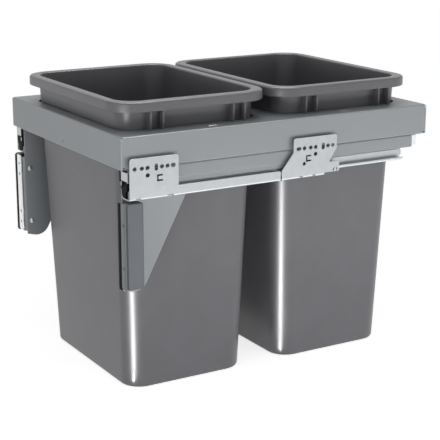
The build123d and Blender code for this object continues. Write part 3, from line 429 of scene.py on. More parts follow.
def skin(rings, first=True, last=True):
    """Skin through rings of points in millimetres, with a flat first and last end where asked."""
    bm = bmesh.new()
    loops = [[bm.verts.new(Vector(point) * MM) for point in ring] for ring in rings]
    count = len(loops[0])
    for low, high in zip(loops, loops[1:]):
        for i in range(count):
            j = (i + 1) % count
            bm.faces.new((low[i], low[j], high[j], high[i]))
    if first:
        bm.faces.new(loops[0][::-1])
    if last:
        bm.faces.new(loops[-1])
    bmesh.ops.recalc_face_normals(bm, faces=bm.faces)
    mesh = bpy.data.meshes.new("skin")
    bm.to_mesh(mesh)
    bm.free()
    return mesh


def prism(outline, start, length, axis):
    """Solid with a flat outline, along Y (outline in X-Z) or along Z (outline in X-Y)."""
    rings = []
    for level in (start, start + length):
        rings.append([(u, level, v) if axis == "Y" else (u, v, level) for u, v in outline])
    return skin(rings)


def soft_block(x_range, y_range, z_range, bevel=0.3, segments=2):
    """Block with softened edges."""
    bm = bmesh.new()
    bmesh.ops.create_cube(bm, size=1.0)
    for vert in bm.verts:
        vert.co = Vector(
            (low + (high - low) * (part + 0.5)) * MM
            for part, (low, high) in zip(vert.co, (x_range, y_range, z_range))
        )
    if bevel:
        bmesh.ops.bevel(
            bm, geom=bm.edges[:], offset=bevel * MM, segments=segments, affect="EDGES", profile=0.5
        )
    mesh = bpy.data.meshes.new("block")
    bm.to_mesh(mesh)
    bm.free()
    return mesh


def lathe(profile, place, axis, steps=28):
    """Turned solid: profile of (height, radius) along an axis from place."""
    rings = []
    for height, radius in profile:
        ring = []
        for i in range(steps):
            angle = 2 * math.pi * i / steps
            a, b = radius * math.cos(angle), radius * math.sin(angle)
            local = {"X": (height, a, b), "Y": (b, height, a), "Z": (a, b, height)}[axis]
            ring.append(Vector(place) + Vector(local))
        rings.append(ring)
    return skin(rings)


def flip_side(mesh):
    """Mirror image of a mesh, on the other side of the cabinet."""
    twin = mesh.copy()
    twin.transform(Matrix.Scale(-1, 4, (1, 0, 0)))
    twin.flip_normals()
    return twin


def piece(name, meshes, replaced, angle=35.0, materials=None):
    """One visible object from several meshes, riding with the node it stands for.

    Each mesh takes the material at its own place in materials, and later ones the last.
    """
    slot_name = SLOT_OF[replaced]
    finishes = materials or [BY_SLOT[slot_name]]
    bm = bmesh.new()
    for index, mesh in enumerate(meshes):
        before = len(bm.faces)
        bm.from_mesh(mesh)
        bm.faces.ensure_lookup_table()
        for face in bm.faces[before:]:
            face.material_index = min(index, len(finishes) - 1)
    joined = bpy.data.meshes.new(name)
    bm.to_mesh(joined)
    bm.free()
    for polygon in joined.polygons:
        polygon.use_smooth = True
    joined.set_sharp_from_angle(angle=math.radians(angle))
    for material in finishes:
        joined.materials.append(material)
    obj = bpy.data.objects.new(name, joined)
    bpy.context.scene.collection.objects.link(obj)
    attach(obj, BODY_OF[replaced])
    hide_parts(replaced)
    return obj


def pair(name, meshes, **options):
    """A piece on the right and its mirrored twin, each for its own node."""
    piece(f"right_{name}_look", meshes, f"right_{name}", **options)
    piece(f"left_{name}_look", [flip_side(mesh) for mesh in meshes], f"left_{name}", **options)


# ---------------------------------------------------------------- bins
BIN_BOX = node_box("front_bin")
BIN_LOW, BIN_TOP = BIN_BOX.low, BIN_BOX.top
BIN_WALL = 2.5
BIN_FLOOR = 5.5

# Half widths and half depths of the tapered body at the two levels, outside and inside
BODY_HALF = ((144.85, 102.0), (163.1, 116.15))
BODY_LEVELS = (BIN_LOW, BIN_TOP - BIN_WALL)
INNER_LEVELS = (BIN_LOW + BIN_FLOOR, BIN_TOP)
BODY_RADIUS = 33.0
RIM_HALF = ((BIN_BOX.right - BIN_BOX.left) / 2, (BIN_BOX.back - BIN_BOX.front) / 2)
RIM_RADIUS = 43.7
RIM_DEPTH = 14.8
CORNER_STEPS = 14
ROUND_STEPS = 5
CROWN_STEPS = 6
BASE_INSET, BASE_RAISE = 14.0, 3.0
FOOT_ROUND = 5.0
FLOOR_ROUND = 6.0
CROWN_ROUND = 3.4
MOUTH_ROUND = 2.2
NECK_EASE = 1.5
RIM_EASE_ABOVE, RIM_EASE_INSIDE, RIM_EASE_OUTSIDE = 0.8, 0.5, 0.7
OUTSIDE_LEVELS = (-240.0, -120.0, 0.0, 60.0)
INSIDE_LEVELS = (40.0, -80.0, -200.0)
RIB_PLACES = (-76.5, -56.5, 62.0, 81.5)
RIB_IN, RIB_OUT = 160.8, 176.0
RIB_LEVELS = (45.8, 85.6)
RIB_HALF = 1.1


def drafted(level, levels, inset):
    """Ring of the tapered body at a level, moved in by inset."""
    part = (level - levels[0]) / (levels[1] - levels[0])
    half = [low + (high - low) * part - inset for low, high in zip(*BODY_HALF)]
    return (level, half[0], half[1], BODY_RADIUS - inset)


def rim_ring(level, inset):
    """Ring of the rim at a level, moved in by inset."""
    return (level, RIM_HALF[0] - inset, RIM_HALF[1] - inset, RIM_RADIUS - inset)


def quarter_round(steps):
    """Shares along a quarter circle: of each pair one falls from 1 to 0, the other rises to 1."""
    angles = [math.pi / 2 * i / steps for i in range(steps + 1)]
    return [(1 - math.sin(angle), 1 - math.cos(angle)) for angle in angles]


def outside_rings():
    """Rings of the bin's outside, from its underside up to the rim."""
    rings = [
        drafted(BIN_LOW + BASE_RAISE, BODY_LEVELS, BASE_INSET),
        drafted(BIN_LOW, BODY_LEVELS, BASE_INSET),
    ]
    for falling, rising in quarter_round(ROUND_STEPS):
        rings.append(drafted(BIN_LOW + FOOT_ROUND * rising, BODY_LEVELS, FOOT_ROUND * falling))
    rings += [drafted(level, BODY_LEVELS, 0.0) for level in OUTSIDE_LEVELS]
    under = BIN_TOP - BIN_WALL
    rings.append(drafted(under - NECK_EASE, BODY_LEVELS, 0.0))
    rings.append(drafted(under, BODY_LEVELS, -NECK_EASE))
    return rings


def rim_rings():
    """Rings of the turned-down rim, from under it round its lower edge to its top."""
    under, low = BIN_TOP - BIN_WALL, BIN_TOP - RIM_DEPTH
    rings = [
        rim_ring(under, BIN_WALL + RIM_EASE_ABOVE),
        rim_ring(under - RIM_EASE_ABOVE, BIN_WALL),
        rim_ring(low + RIM_EASE_INSIDE, BIN_WALL),
        rim_ring(low, BIN_WALL - RIM_EASE_INSIDE),
        rim_ring(low, RIM_EASE_OUTSIDE),
        rim_ring(low + RIM_EASE_OUTSIDE, 0.0),
    ]
    for falling, rising in quarter_round(CROWN_STEPS):
        rings.append(rim_ring(BIN_TOP - CROWN_ROUND * falling, CROWN_ROUND * rising))
    return rings


def inside_rings():
    """Rings of the bin's inside, from its mouth down to its floor."""
    rings = []
    for falling, rising in quarter_round(ROUND_STEPS):
        inset = BIN_WALL - MOUTH_ROUND * falling
        rings.append(drafted(BIN_TOP - MOUTH_ROUND * rising, INNER_LEVELS, inset))
    rings += [drafted(level, INNER_LEVELS, BIN_WALL) for level in INSIDE_LEVELS]
    for falling, rising in quarter_round(ROUND_STEPS):
        inset = BIN_WALL + FLOOR_ROUND * rising
        rings.append(drafted(INNER_LEVELS[0] + FLOOR_ROUND * falling, INNER_LEVELS, inset))
    return rings


def ring_points(level, half_x, half_y, radius, centre):
    """Points of a rounded rectangle."""
    points = []
    for turn, (sx, sy) in enumerate(((1, 1), (-1, 1), (-1, -1), (1, -1))):
        middle = (sx * (half_x - radius), centre + sy * (half_y - radius))
        start = turn * math.pi / 2
        for x, y in arc_points(middle, radius, start, start + math.pi / 2, CORNER_STEPS):
            points.append((x, y, level))
    return points


def make_bins():
    """Both bins, with ribs under the rim."""
    for name in ("front_bin", "rear_bin"):
        low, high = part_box(name)
        centre = (low[1] + high[1]) / 2 / MM
        rings = outside_rings() + rim_rings() + inside_rings()
        meshes = [skin([ring_points(*ring, centre) for ring in rings])]
        for offset in RIB_PLACES:
            for side in (-1, 1):
                y = centre + offset
                x_range = sorted((side * RIB_IN, side * RIB_OUT))
                meshes.append(soft_block(x_range, (y - RIB_HALF, y + RIB_HALF), RIB_LEVELS, 0.3))
        piece(f"{name}_shell", meshes, name)


# ---------------------------------------------------------------- brackets
PLATE_BEND = 3.0
PLATE_BOTTOM = FRONT_PLATE.low + PLATE_BEND
LIP_TOP = -35.5
LIP_BEND = 6.0
FLOOR_EDGE = 206.0
FLOOR_LAP = 0.21
HOLE_RADIUS = 3.2
HOLE_DEPTHS = (16.5, 28.0, 37.0, 60.0, 69.0)
LOW_HOLE = (37.0, -10.7)
SLOT_DEPTH, SLOT_SIZE = 51.0, (10.5, 5.6)
TONGUE_LEVEL = -11.0
REAR_PLATE_DEPTH = 288.0


def tongue_ring(y, top):
    """C-shaped cut in a mounting plate, around a tongue."""
    width, height, band = 9.4, 10.2, 2.6
    low = top - height
    left, right = y - width / 2, y + width / 2
    points = [
        (left, low),
        (right, low),
        (right, low + band),
        (left + band, low + band),
        (left + band, top - band),
        (right, top - band),
        (right, top),
        (left, top),
    ]
    return round_path(points, (0.9, 0.5, 0.5, 0.4, 0.4, 0.5, 0.5, 0.9), True, 3)


def arch_ring(y, low):
    """Arch-shaped cut in the tab of a rear mounting plate."""
    outer, inner = 4.0, 2.2
    top, under = low + 6.0, low + 4.0
    points = [(y - outer, low), (y - outer, top), (y + outer, top), (y + outer, low)]
    points += [(y + inner, low), (y + inner, under), (y - inner, under), (y - inner, low)]
    return round_path(points, (0.4, 0.9, 0.9, 0.4, 0.4, 0.3, 0.3, 0.4), True, 3)


def shared_holes(start):
    """Holes that both mounting plates have."""
    rings = [circle(start + y, 0, HOLE_RADIUS) for y in HOLE_DEPTHS]
    rings.append(slot_ring(start + SLOT_DEPTH, 0, *SLOT_SIZE, True))
    rings.append(circle(start + LOW_HOLE[0], LOW_HOLE[1], HOLE_RADIUS))
    return rings


def floor_section():
    """Section of a bracket's floor and lip, with a wide bend between them."""
    low, lip = FRONT_PLATE.low, FRONT_PLATE.left
    return sheet_section(((FLOOR_EDGE, low), (lip, low), (lip, LIP_TOP)), SHEET, LIP_BEND, -1)


def bend_section():
    """Section of the bend between a mounting plate and its floor, which it laps a little."""
    low, wall = FRONT_PLATE.low, FRONT_PLATE.right
    points = ((wall, PLATE_BOTTOM + TINY), (wall, low), (FLOOR_EDGE - FLOOR_LAP, low))
    return sheet_section(points, SHEET, PLATE_BEND, -1)


def bracket_floor(start, end, notches):
    """Bent floor and lip below a mounting plate, with notches in the bend."""
    meshes = [prism(floor_section(), start, end - start, "Y")]
    bend = bend_section()
    for notch_start, notch_end in notches + ((end, end),):
        meshes.append(prism(bend, start, notch_start - start, "Y"))
        start = notch_end
    return meshes


def make_front_brackets():
    """Front mounting plates with their low strips, and the tab at the front edge, in darker zinc
    for painted shade.
    """
    start, end = FRONT_PLATE.front, FRONT_PLATE.back
    plate_end, strip_top = 87.0, -30.5
    points = (
        (start, PLATE_BOTTOM),
        (start, FRONT_PLATE.top),
        (plate_end, FRONT_PLATE.top),
        (plate_end, strip_top),
        (end, strip_top),
        (end, PLATE_BOTTOM),
    )
    outline = round_path(points, (0, 4, 4, 1.5, 2.5, 0), True)
    oblong, tongue = slot_ring(78.3, 0, 7.6, 6.4, False), tongue_ring(56.5, TONGUE_LEVEL)
    holes = shared_holes(0.0) + [oblong, tongue]
    notches = ((17.5, 25.5), (68.3, 78.4))
    meshes = [side_plate(outline, holes, PLATE_INNER, SHEET)] + bracket_floor(start, end, notches)
    tab_in, tab_out, tab_low = 202.8, 207.9, -44.6
    tab = ((tab_in, tab_low), (tab_out, tab_low), (tab_out, -29.5), (tab_in, -33.5))
    # The tab takes the darker zinc, painted shade
    shaded = prism(round_path(tab, (0, 0, 0, 1.5), True), start + 0.1, SHEET, "Y")
    pair("front_bracket", meshes + [shaded], materials=[ZINC] * len(meshes) + [DULL_ZINC_AND_SHADE])


def make_rear_brackets():
    """Rear mounting plates with foot and tab."""
    start, end = REAR_PLATE.front, 342.0
    plate_start, plate_end, shoulder = 285.0, 364.5, -5.0
    tab_start, tab_low, tab_top = 350.5, -42.0, -26.0
    points = (
        (start, PLATE_BOTTOM),
        (start, PLATE_BOTTOM + 12.0),
        (plate_start, shoulder),
        (plate_start, REAR_PLATE.top),
        (plate_end, REAR_PLATE.top),
        (plate_end, shoulder),
        (tab_start, tab_top),
        (REAR_PLATE.back, tab_top),
        (REAR_PLATE.back, tab_low),
        (end, tab_low),
        (end, PLATE_BOTTOM),
    )
    outline = round_path(points, (0, 3, 4, 4, 4, 4, 1.5, 1.0, 1.0, 0, 0), True)
    oblong, low_hole = slot_ring(294.3, 0, 8.5, 5.6, False), circle(304.5, -24.0, 2.8)
    tongue, arch = tongue_ring(312.2, TONGUE_LEVEL), arch_ring(362.0, -41.0)
    holes = shared_holes(REAR_PLATE_DEPTH) + [oblong, low_hole, tongue, arch]
    notches = ((295.7, 302.0), (319.5, 325.5))
    plate = side_plate(outline, holes, PLATE_INNER, SHEET)
    pair("rear_bracket", [plate] + bracket_floor(start, end, notches))


# ---------------------------------------------------------------- runners
SKIRT_DEPTHS = (22.5, 280.0)
SKIRT_LAP = 0.4
ROLLER_EASE = 0.15


def member_section(low):
    """Section of a drawer member, an inverted trough whose sides reach down to low."""
    inner, outer, top = MEMBER.left, MEMBER.right, MEMBER.top
    points = ((outer, low), (outer, top), (inner, top), (inner, low))
    return sheet_section(points, SHEET, FOLD, 1)


def make_members():
    """Drawer members with their painted skirt."""
    trough = prism(member_section(MEMBER_LOW), MEMBER.front, MEMBER.back - MEMBER.front, "Y")
    levels = (MEMBER.low, MEMBER_LOW + SKIRT_LAP)
    skirt = soft_block((MEMBER.right - SHEET, MEMBER.right), SKIRT_DEPTHS, levels, 0.15, 1)
    pair("drawer_member", [trough, skirt])


def make_hooks():
    """Bright hooks behind the drawer members."""
    box = node_box("right_rear_hook")
    hook = prism(member_section(box.low), box.front, box.back - box.front, "Y")
    pair("rear_hook", [hook], materials=[BRIGHT_ZINC_AND_SHEEN])


def make_catches():
    """Dark catches with a wing, bands and a hook, at the noses of the drawer members."""
    box = node_box("right_front_catch")
    inner, outer, low = MEMBER.left, MEMBER.right, box.low
    wing, flank, block_start = 183.2, 196.8, 10.5
    face = (
        (inner, MEMBER_LOW),
        (wing, -20.4),
        (wing, -30.5),
        (inner, -31.5),
        (inner, -38.0),
        (186.2, -41.5),
        (189.2, -43.6),
        (flank, low),
        (flank, -37.5),
        (198.6, -34.5),
        (outer, -32.0),
        (outer, MEMBER_LOW),
    )
    block = ((inner, MEMBER_LOW), (inner, -40.5), (188.5, low), (outer, low), (outer, MEMBER_LOW))
    face_outline = round_path(face, (0, 0.6, 0.8, 0.4, 2, 2, 2, 0.5, 1, 1, 1, 0.4), True, 3)
    block_outline = round_path(block, (0.4, 2, 2, 0.4, 0.4), True, 3)
    meshes = [
        prism(face_outline, box.front, block_start - box.front, "Y"),
        prism(block_outline, block_start, box.back - block_start, "Y"),
    ]
    plug = soft_block((inner + SHEET, outer - SHEET), (8.0, box.back), (-21.2, box.top), 0.6)
    upright_band = soft_block((181.2, 184.8), (5.8, 8.2), (-20.8, -2.4), 0.3)
    top_band = soft_block((184.6, 203.0), (6.7, 8.0), (-5.3, -2.4), 0.3)
    hook = soft_block((187.6, 191.0), (6.2, 7.6), (-27.0, -19.2), 0.4)
    pair("front_catch", meshes + [plug, upright_band, top_band, hook])


def make_clips():
    """Bright clips around the catches, each with a tongue."""
    box = node_box("right_front_clip")
    sheet, bend = 1.2, 1.8
    points = ((box.left, box.front), (box.right, box.front), (box.right, box.back))
    strip = prism(sheet_section(points, sheet, bend, 1), box.low, box.top - box.low, "Z")
    tongue = soft_block((185.1, 187.3), (6.2, 7.4), (-26.3, -19.8), 0.4)
    pair("front_clip", [strip, tongue])


def make_cabinet_rails():
    """Troughs with an outboard foot, above the floors of the brackets."""
    box = node_box("right_cabinet_rail")
    outer, low, length = 199.5, box.low, box.back - box.front
    trough = ((outer, box.top), (outer, low), (box.left, low), (box.left, -29.0))
    foot = ((outer - SHEET, low), (box.right, low), (box.right, -34.0))
    meshes = [
        prism(sheet_section(trough, SHEET, FOLD, -1), box.front, length, "Y"),
        prism(sheet_section(foot, SHEET, FOLD, 1), box.front, length, "Y"),
    ]
    pair("cabinet_rail", meshes)


def loose_boxes(node):
    """Boxes around the separate solids of a node, in millimetres."""
    bm = bmesh.new()
    bm.from_mesh(NODES[node].data)
    bmesh.ops.remove_doubles(bm, verts=bm.verts, dist=0.00001)
    bm.verts.ensure_lookup_table()
    seen = set()
    boxes = []
    for vert in bm.verts:
        if vert.index in seen:
            continue
        group, stack = [], [vert]
        seen.add(vert.index)
        while stack:
            current = stack.pop()
            group.append(current.co / MM)
            for edge in current.link_edges:
                other = edge.other_vert(current)
                if other.index not in seen:
                    seen.add(other.index)
                    stack.append(other)
        low = [min(co[i] for co in group) for i in range(3)]
        high = [max(co[i] for co in group) for i in range(3)]
        boxes.append((low, high))
    bm.free()
    return boxes


def make_rollers():
    """Round rollers at the places of the CAD ones."""
    for side in ("left", "right"):
        for row in ("upper", "lower"):
            node = f"{side}_{row}_rollers"
            meshes = []
            for low, high in loose_boxes(node):
                sizes = [b - a for a, b in zip(low, high)]
                radius, length = min(sizes) / 2, max(sizes)
                axis = sizes.index(length)
                place = [(a + b) / 2 for a, b in zip(low, high)]
                place[axis] = low[axis]
                ease = radius * ROLLER_EASE
                profile = (
                    (0, radius - ease),
                    (ease, radius),
                    (length - ease, radius),
                    (length, radius - ease),
                )
                meshes.append(lathe(profile, place, "XYZ"[axis], 16))
            piece(f"{node}_look", meshes, node)


# ---------------------------------------------------------------- door brackets
TOOTH_PITCH = 4.0
GUSSET_SHEET = 2.0

# Radii of the holes for each kind of screw, and lengths and widths of the gussets' slots
DOOR_HOLE, HEIGHT_HOLE, COVER_HOLE = 2.6, 2.1, 1.9
DOOR_SLOT, HEIGHT_SLOT = (12.0, 6.0), (10.6, 4.6)

COVER_BOX = node_box("right_bracket_cover")
COVER_IN, COVER_WALL, COVER_FRONT = 193.0, 1.8, 3.0
COVER_RADII = (4.5, 6.5, 3.2, 3.2)

# Steps of a cover's soft edge: how far behind its face, and how far moved in
COVER_EASE = ((2.2, 0.0), (1.5, 0.25), (0.7, 0.75), (0.2, 1.5), (0.0, 2.4))


def grooved_rail(box):
    """Meshes of a door rail: a back plate and, lapping it, two strips with a groove between."""
    column, levels = (box.left + box.right) / 2, (box.low, box.top)
    groove_start, groove_end = column + 3.1, column + 4.1
    strip, lap = 1.0, 0.1
    holes = [circle(column, z, DOOR_HOLE) for z in DOOR_HOLE_LEVELS]
    holes += [circle(column, z, HEIGHT_HOLE) for z in HEIGHT_SCREW_LEVELS]
    plate = rectangle((box.left, box.right), levels, (3, 3, 3, 3))
    face = rectangle((box.left, groove_start), levels, (3, 0, 0, 3))
    edge = rectangle((groove_end, box.right), levels, (0, 3, 3, 0))
    plate_start = box.front + strip - lap
    return [
        front_plate(plate, holes, plate_start, box.back - plate_start),
        front_plate(face, holes, box.front, strip),
        front_plate(edge, [], box.front, strip),
    ]


def toothed_strip(box):
    """Strip with teeth on its front."""
    valley = box.front + 0.8
    outline = [(box.back, box.top)]
    for index in range(round((box.top - box.low) / TOOTH_PITCH)):
        crest = box.top - TOOTH_PITCH * index
        outline += [(box.front, crest), (box.front, crest - 2.0)]
        outline += [(valley, crest - 2.6), (valley, crest - 3.6)]
    outline += [(box.front, box.low), (box.back, box.low)]
    return side_plate(outline, [], box.left, box.right - box.left, 0.1)


def make_door_rails():
    """Door rails, their toothed strips and height screws, of one hand on both sides; the right rail
    is painted darker for shade, the left lighter for a reflection.
    """
    head = ((4.6, 3.6), (5.0, HEIGHT_HEAD), (6.2, HEIGHT_HEAD), (6.8, 3.3))
    profile = ((0, 2.0), (4.6, 2.0)) + head
    # Same zinc on both sides, painted darker on the right for shade and lighter on the left for a
    # reflection
    for side, painted_light_zinc in (("right", DULL_ZINC_AND_SHADE), ("left", BRIGHT_ZINC_AND_SHEEN)):
        rail, strip = f"{side}_door_rail", f"{side}_toothed_strip"
        box = node_box(rail)
        piece(f"{rail}_look", grooved_rail(box), rail, materials=[painted_light_zinc])
        piece(f"{strip}_look", [toothed_strip(node_box(strip))], strip)
        column = (box.left + box.right) / 2
        heads = [lathe(profile, (column, box.front, z), "Y", 24) for z in HEIGHT_SCREW_LEVELS]
        screws = f"{side}_height_screws"
        piece(f"{screws}_look", heads, screws, materials=[DULL_ZINC_AND_SHADE])


def make_gussets():
    """Plates that hang from the tray, with a round toe, a top flange and a slotted front flange."""
    top_bend, front_bend, sheet = 3.0, 5.0, GUSSET_SHEET
    inner, front, top = GUSSET.left, GUSSET.front, GUSSET.top
    start, plate_top = front + front_bend, top - top_bend
    points = ((start, plate_top), (GUSSET.back, plate_top), (38.65, -193.0), (start, -185.6))
    outline = round_path(points, (0, 0, 22, 0), True)
    holes = [circle(COVER_SCREW_DEPTH, z, COVER_HOLE) for z in COVER_SCREW_LEVELS]
    flange_start, flange_width = 28.3, 19.0
    flange = ((inner, plate_top - TINY), (inner, top), (inner + flange_width, top))
    turn = ((inner, start + TINY), (inner, front), (inner + front_bend + TINY, front))
    flange_section = sheet_section(flange, sheet, top_bend, -1)
    low, high = -180.0, -53.0
    shared = [
        side_plate(outline, holes, inner, sheet),
        prism(flange_section, flange_start, GUSSET.back - flange_start, "Y"),
        prism(sheet_section(turn, sheet, front_bend, 1), low, high - low, "Z"),
    ]
    slotted = rectangle((inner + front_bend, GUSSET.right), (low, high), (0, 3, 3, 0))
    for side in ("right", "left"):
        rail = node_box(f"{side}_door_rail")
        column = abs(rail.left + rail.right) / 2
        slots = [slot_ring(column, z, *HEIGHT_SLOT, True) for z in HEIGHT_SCREW_LEVELS]
        slots += [slot_ring(column, z, *DOOR_SLOT, True) for z in DOOR_HOLE_LEVELS]
        meshes = shared + [front_plate(slotted, slots, front, sheet)]
        if side == "left":
            meshes = [flip_side(mesh) for mesh in meshes]
        piece(f"{side}_gusset_look", meshes, f"{side}_gusset")


def cover_ring(x, inset, radii):
    """Ring of a cover at x, moved in by inset."""
    y_range = (COVER_FRONT + inset, COVER_BOX.back - inset)
    z_range = (COVER_BOX.low + inset, COVER_BOX.top - inset)
    return [(x, y, z) for y, z in rectangle(y_range, z_range, radii)]


def make_covers():
    """Covers over the door brackets, with painted shade on their rounded edges and a boss for each
    screw.
    """
    out = COVER_BOX.right
    rings = [cover_ring(COVER_IN, 0.0, COVER_RADII)]
    for behind, inset in COVER_EASE:
        radii = [radius - inset / 2 for radius in COVER_RADII]
        rings.append(cover_ring(out - behind, inset, radii))
    ends = (out - COVER_WALL, COVER_IN)
    hollow = [cover_ring(x, COVER_WALL, (2.8, 4.8, 1.6, 1.6)) for x in ends]
    shell = skin(hollow + rings[:2], True, False)
    edge = skin(rings[1:5], False, False)
    face = skin(rings[4:], False, True)
    boss_start, profile = 182.2, ((0, 4.2), (25.0, 4.2))
    bosses = [
        lathe(profile, (boss_start, COVER_SCREW_DEPTH, z), "X", 24) for z in COVER_SCREW_LEVELS
    ]
    # The rounded edge band takes the darker plastic, painted shade
    pair("bracket_cover", [edge, shell, face] + bosses, materials=[COVER_EDGE_SHADE, COVER])


def make_cover_screws():
    """Round-headed screws through the gussets into the covers' bosses."""
    start, length, shank = COVER_SCREWS.left, COVER_SCREWS.right - COVER_SCREWS.left, 1.8
    head = ((0.0, 1.6), (0.2, 2.6), (1.0, 4.0), (1.9, COVER_HEAD), (2.4, COVER_HEAD))
    profile = head + ((2.4, shank), (length, shank))
    screws = [lathe(profile, (start, COVER_SCREW_DEPTH, z), "X") for z in COVER_SCREW_LEVELS]
    pair("cover_screws", screws)


# ---------------------------------------------------------------- tray rivets
def make_rivets():
    """Rivets in the tray flanges, with domed heads."""
    meshes = []
    for low, high in loose_boxes("tray_rivets"):
        x, y = (low[0] + high[0]) / 2, (low[1] + high[1]) / 2
        height = high[2] - low[2]
        seat = height - 1.2
        profile = ((0, 1.9), (seat, 1.9), (seat, 3.8), (height - 0.5, 3.5), (height, 2.2))
        meshes.append(lathe(profile, (x, y, low[2]), "Z", 20))
    piece("tray_rivets_look", meshes, "tray_rivets")


# ---------------------------------------------------------------- stage, lights, camera
FLOOR_REACH = 8.0
FLOOR_GLOW = 0.75
FLOOR_SHADE = 0.9
WORLD_LIGHT = 0.36

# Name, place, target, size, power, and whether the lamp is mirrored instead of giving light
LAMPS = (
    ("side", (0.80, 0.42, -0.33), (0.20, 0.38, 0.00), (0.35, 1.6), 7.3, False),
    ("front", (0.45, -1.15, -0.28), (0.13, -0.40, 0.00), (1.6, 0.5), 6.6, False),
    ("overhead", (0.0, 0.27, 1.6), (0.0, 0.27, 0.0), (1.6, 1.6), 65.0, True),
)

# Card beside the right brackets
LOW_CARD_PLACE = (0.50, 0.42, -0.35)
LOW_CARD_TARGET = (0.50, 0.42, 0.0)
LOW_CARD_SIZE = (0.4, 1.0)
LOW_CARD_POWER = 2.0

# Cards on the floor, which run out from each bin's front right corner: near end, far end, share
CARD_CORNERS = {"front_bin": (0.135, 0.045), "rear_bin": (0.135, 0.314)}
CARD_AZIMUTH = math.radians(33.0)
CARD_LEVEL = -0.356
CARD_RUNS = (
    (0.01, 0.05, 1.0),
    (0.05, 0.10, 1.0),
    (0.10, 0.20, 1.0),
    (0.20, 0.40, 1.0),
    (0.40, 0.90, 1.0),
    (0.90, 1.90, 0.35),
)
CARD_SPREAD = 0.16
CARD_BRIGHTNESS = 240.0


def background_rays(tree):
    """1 for the rays that should see the white background, else 0."""
    path = tree.nodes.new("ShaderNodeLightPath")
    value = path.outputs["Is Camera Ray"]
    for kind in ("Is Glossy Ray", "Is Transmission Ray"):
        either = tree.nodes.new("ShaderNodeMath")
        either.operation = "MAXIMUM"
        tree.links.new(value, either.inputs[0])
        tree.links.new(path.outputs[kind], either.inputs[1])
        value = either.outputs[0]
    return value


def make_stage(level):
    """Pale floor under the bins; it reads white and keeps a soft shadow."""
    mesh = bpy.data.meshes.new("floor")
    signs = ((-1, -1), (1, -1), (1, 1), (-1, 1))
    corners = [(x * FLOOR_REACH, y * FLOOR_REACH, level) for x, y in signs]
    mesh.from_pydata(corners, [], [(0, 1, 2, 3)])
    floor = bpy.data.objects.new("floor", mesh)
    bpy.context.scene.collection.objects.link(floor)
    mat, tree, shader = new_material("floor_white")
    shader.inputs["Base Color"].default_value = (FLOOR_SHADE, FLOOR_SHADE, FLOOR_SHADE, 1)
    shader.inputs["Roughness"].default_value = 1.0
    shader.inputs["Specular IOR Level"].default_value = 0.0
    shader.inputs["Emission Color"].default_value = (1, 1, 1, 1)
    glow = value_range(tree, background_rays(tree), 0.0, FLOOR_GLOW)
    tree.links.new(glow, shader.inputs["Emission Strength"])
    floor.data.materials.append(mat)


def area_light(name, place, target, size, power, mirrored, upright=(0, 1, 0)):
    """Soft box facing target, its height along upright; a mirrored one only makes highlights."""
    data = bpy.data.lights.new(name, "AREA")
    data.shape = "RECTANGLE"
    data.size, data.size_y = size
    data.energy = power
    light = bpy.data.objects.new(name, data)
    back = (Vector(place) - Vector(target)).normalized()
    across = Vector(upright).cross(back).normalized()
    up = back.cross(across)
    turn = Matrix((across, up, back)).transposed().to_4x4()
    light.matrix_world = Matrix.Translation(place) @ turn
    light.visible_camera = False
    light.visible_glossy = mirrored
    light.visible_diffuse = not mirrored
    bpy.context.scene.collection.objects.link(light)
    return light


def low_card():
    """Bright card beside the unit that only the right brackets mirror, in their bends."""
    receivers = bpy.data.collections.new("bracket_mirrors")
    for name in ("right_front_bracket_look", "right_rear_bracket_look", "right_cabinet_rail_look"):
        receivers.objects.link(bpy.data.objects[name])
    light = area_light(
        "low_card", LOW_CARD_PLACE, LOW_CARD_TARGET, LOW_CARD_SIZE, LOW_CARD_POWER, True
    )
    light.light_linking.receiver_collection = receivers


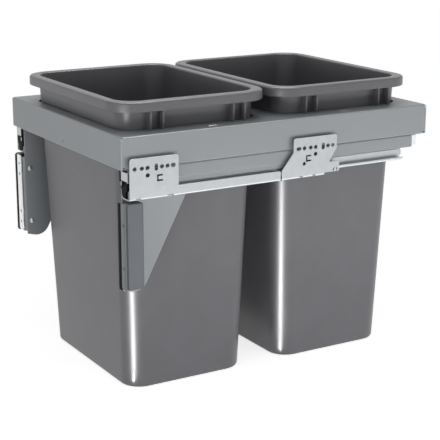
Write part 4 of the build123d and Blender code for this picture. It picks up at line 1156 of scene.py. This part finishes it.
def highlight_cards(node, corner):
    """Bright cards on the floor, wider away from a bin's corner; only this bin mirrors them."""
    shell = bpy.data.objects[f"{node}_shell"]
    receivers = bpy.data.collections.new(f"{node}_mirrors")
    receivers.objects.link(shell)
    way = Vector((math.sin(CARD_AZIMUTH), -math.cos(CARD_AZIMUTH), 0))
    for near, far, share in CARD_RUNS:
        reach = (near + far) / 2
        middle = Vector((*corner, CARD_LEVEL)) + way * reach
        size = (reach * CARD_SPREAD, far - near)
        power = CARD_BRIGHTNESS * share * size[0] * size[1]
        above = middle + Vector((0, 0, 1))
        light = area_light(f"{node}_card", middle, above, size, power, True, way)
        light.light_linking.receiver_collection = receivers
        bpy.context.view_layer.update()
        world = light.matrix_world.copy()
        light.parent = shell
        light.matrix_world = world


def make_world():
    """Even light, with a white background for the camera and for mirrored rays."""
    world = bpy.data.worlds.new("studio")
    bpy.context.scene.world = world
    world.use_nodes = True
    tree = world.node_tree
    tree.nodes.clear()
    out = tree.nodes.new("ShaderNodeOutputWorld")
    light = tree.nodes.new("ShaderNodeBackground")
    light.inputs["Strength"].default_value = WORLD_LIGHT
    white = tree.nodes.new("ShaderNodeBackground")
    white.inputs["Color"].default_value = (1, 1, 1, 1)
    mix = tree.nodes.new("ShaderNodeMixShader")
    tree.links.new(background_rays(tree), mix.inputs["Fac"])
    tree.links.new(light.outputs[0], mix.inputs[1])
    tree.links.new(white.outputs[0], mix.inputs[2])
    tree.links.new(mix.outputs[0], out.inputs["Surface"])


def make_camera():
    """Camera at the photograph's place."""
    data = bpy.data.cameras.new("camera")
    data.lens = CAMERA_LENS
    data.sensor_width = CAMERA_SENSOR
    data.clip_end = CAMERA_CLIP
    camera = bpy.data.objects.new("camera", data)
    flat = math.cos(CAMERA_ELEVATION)
    way = Vector(
        (
            math.sin(CAMERA_AZIMUTH) * flat,
            -math.cos(CAMERA_AZIMUTH) * flat,
            math.sin(CAMERA_ELEVATION),
        )
    )
    camera.location = CAMERA_TARGET + way * CAMERA_DISTANCE
    camera.rotation_euler = (-way).to_track_quat("-Z", "Y").to_euler()
    bpy.context.scene.collection.objects.link(camera)
    bpy.context.scene.camera = camera


make_bins()
make_front_brackets()
make_rear_brackets()
make_members()
make_hooks()
make_catches()
make_clips()
make_cabinet_rails()
make_rollers()
make_door_rails()
make_gussets()
make_covers()
make_cover_screws()
make_rivets()

make_stage(CAD_BOUNDS[0][2])
make_world()
for lamp in LAMPS:
    area_light(*lamp)
low_card()
for name, corner in CARD_CORNERS.items():
    highlight_cards(name, corner)
make_camera()
bpy.context.scene.view_settings.view_transform = "Standard"
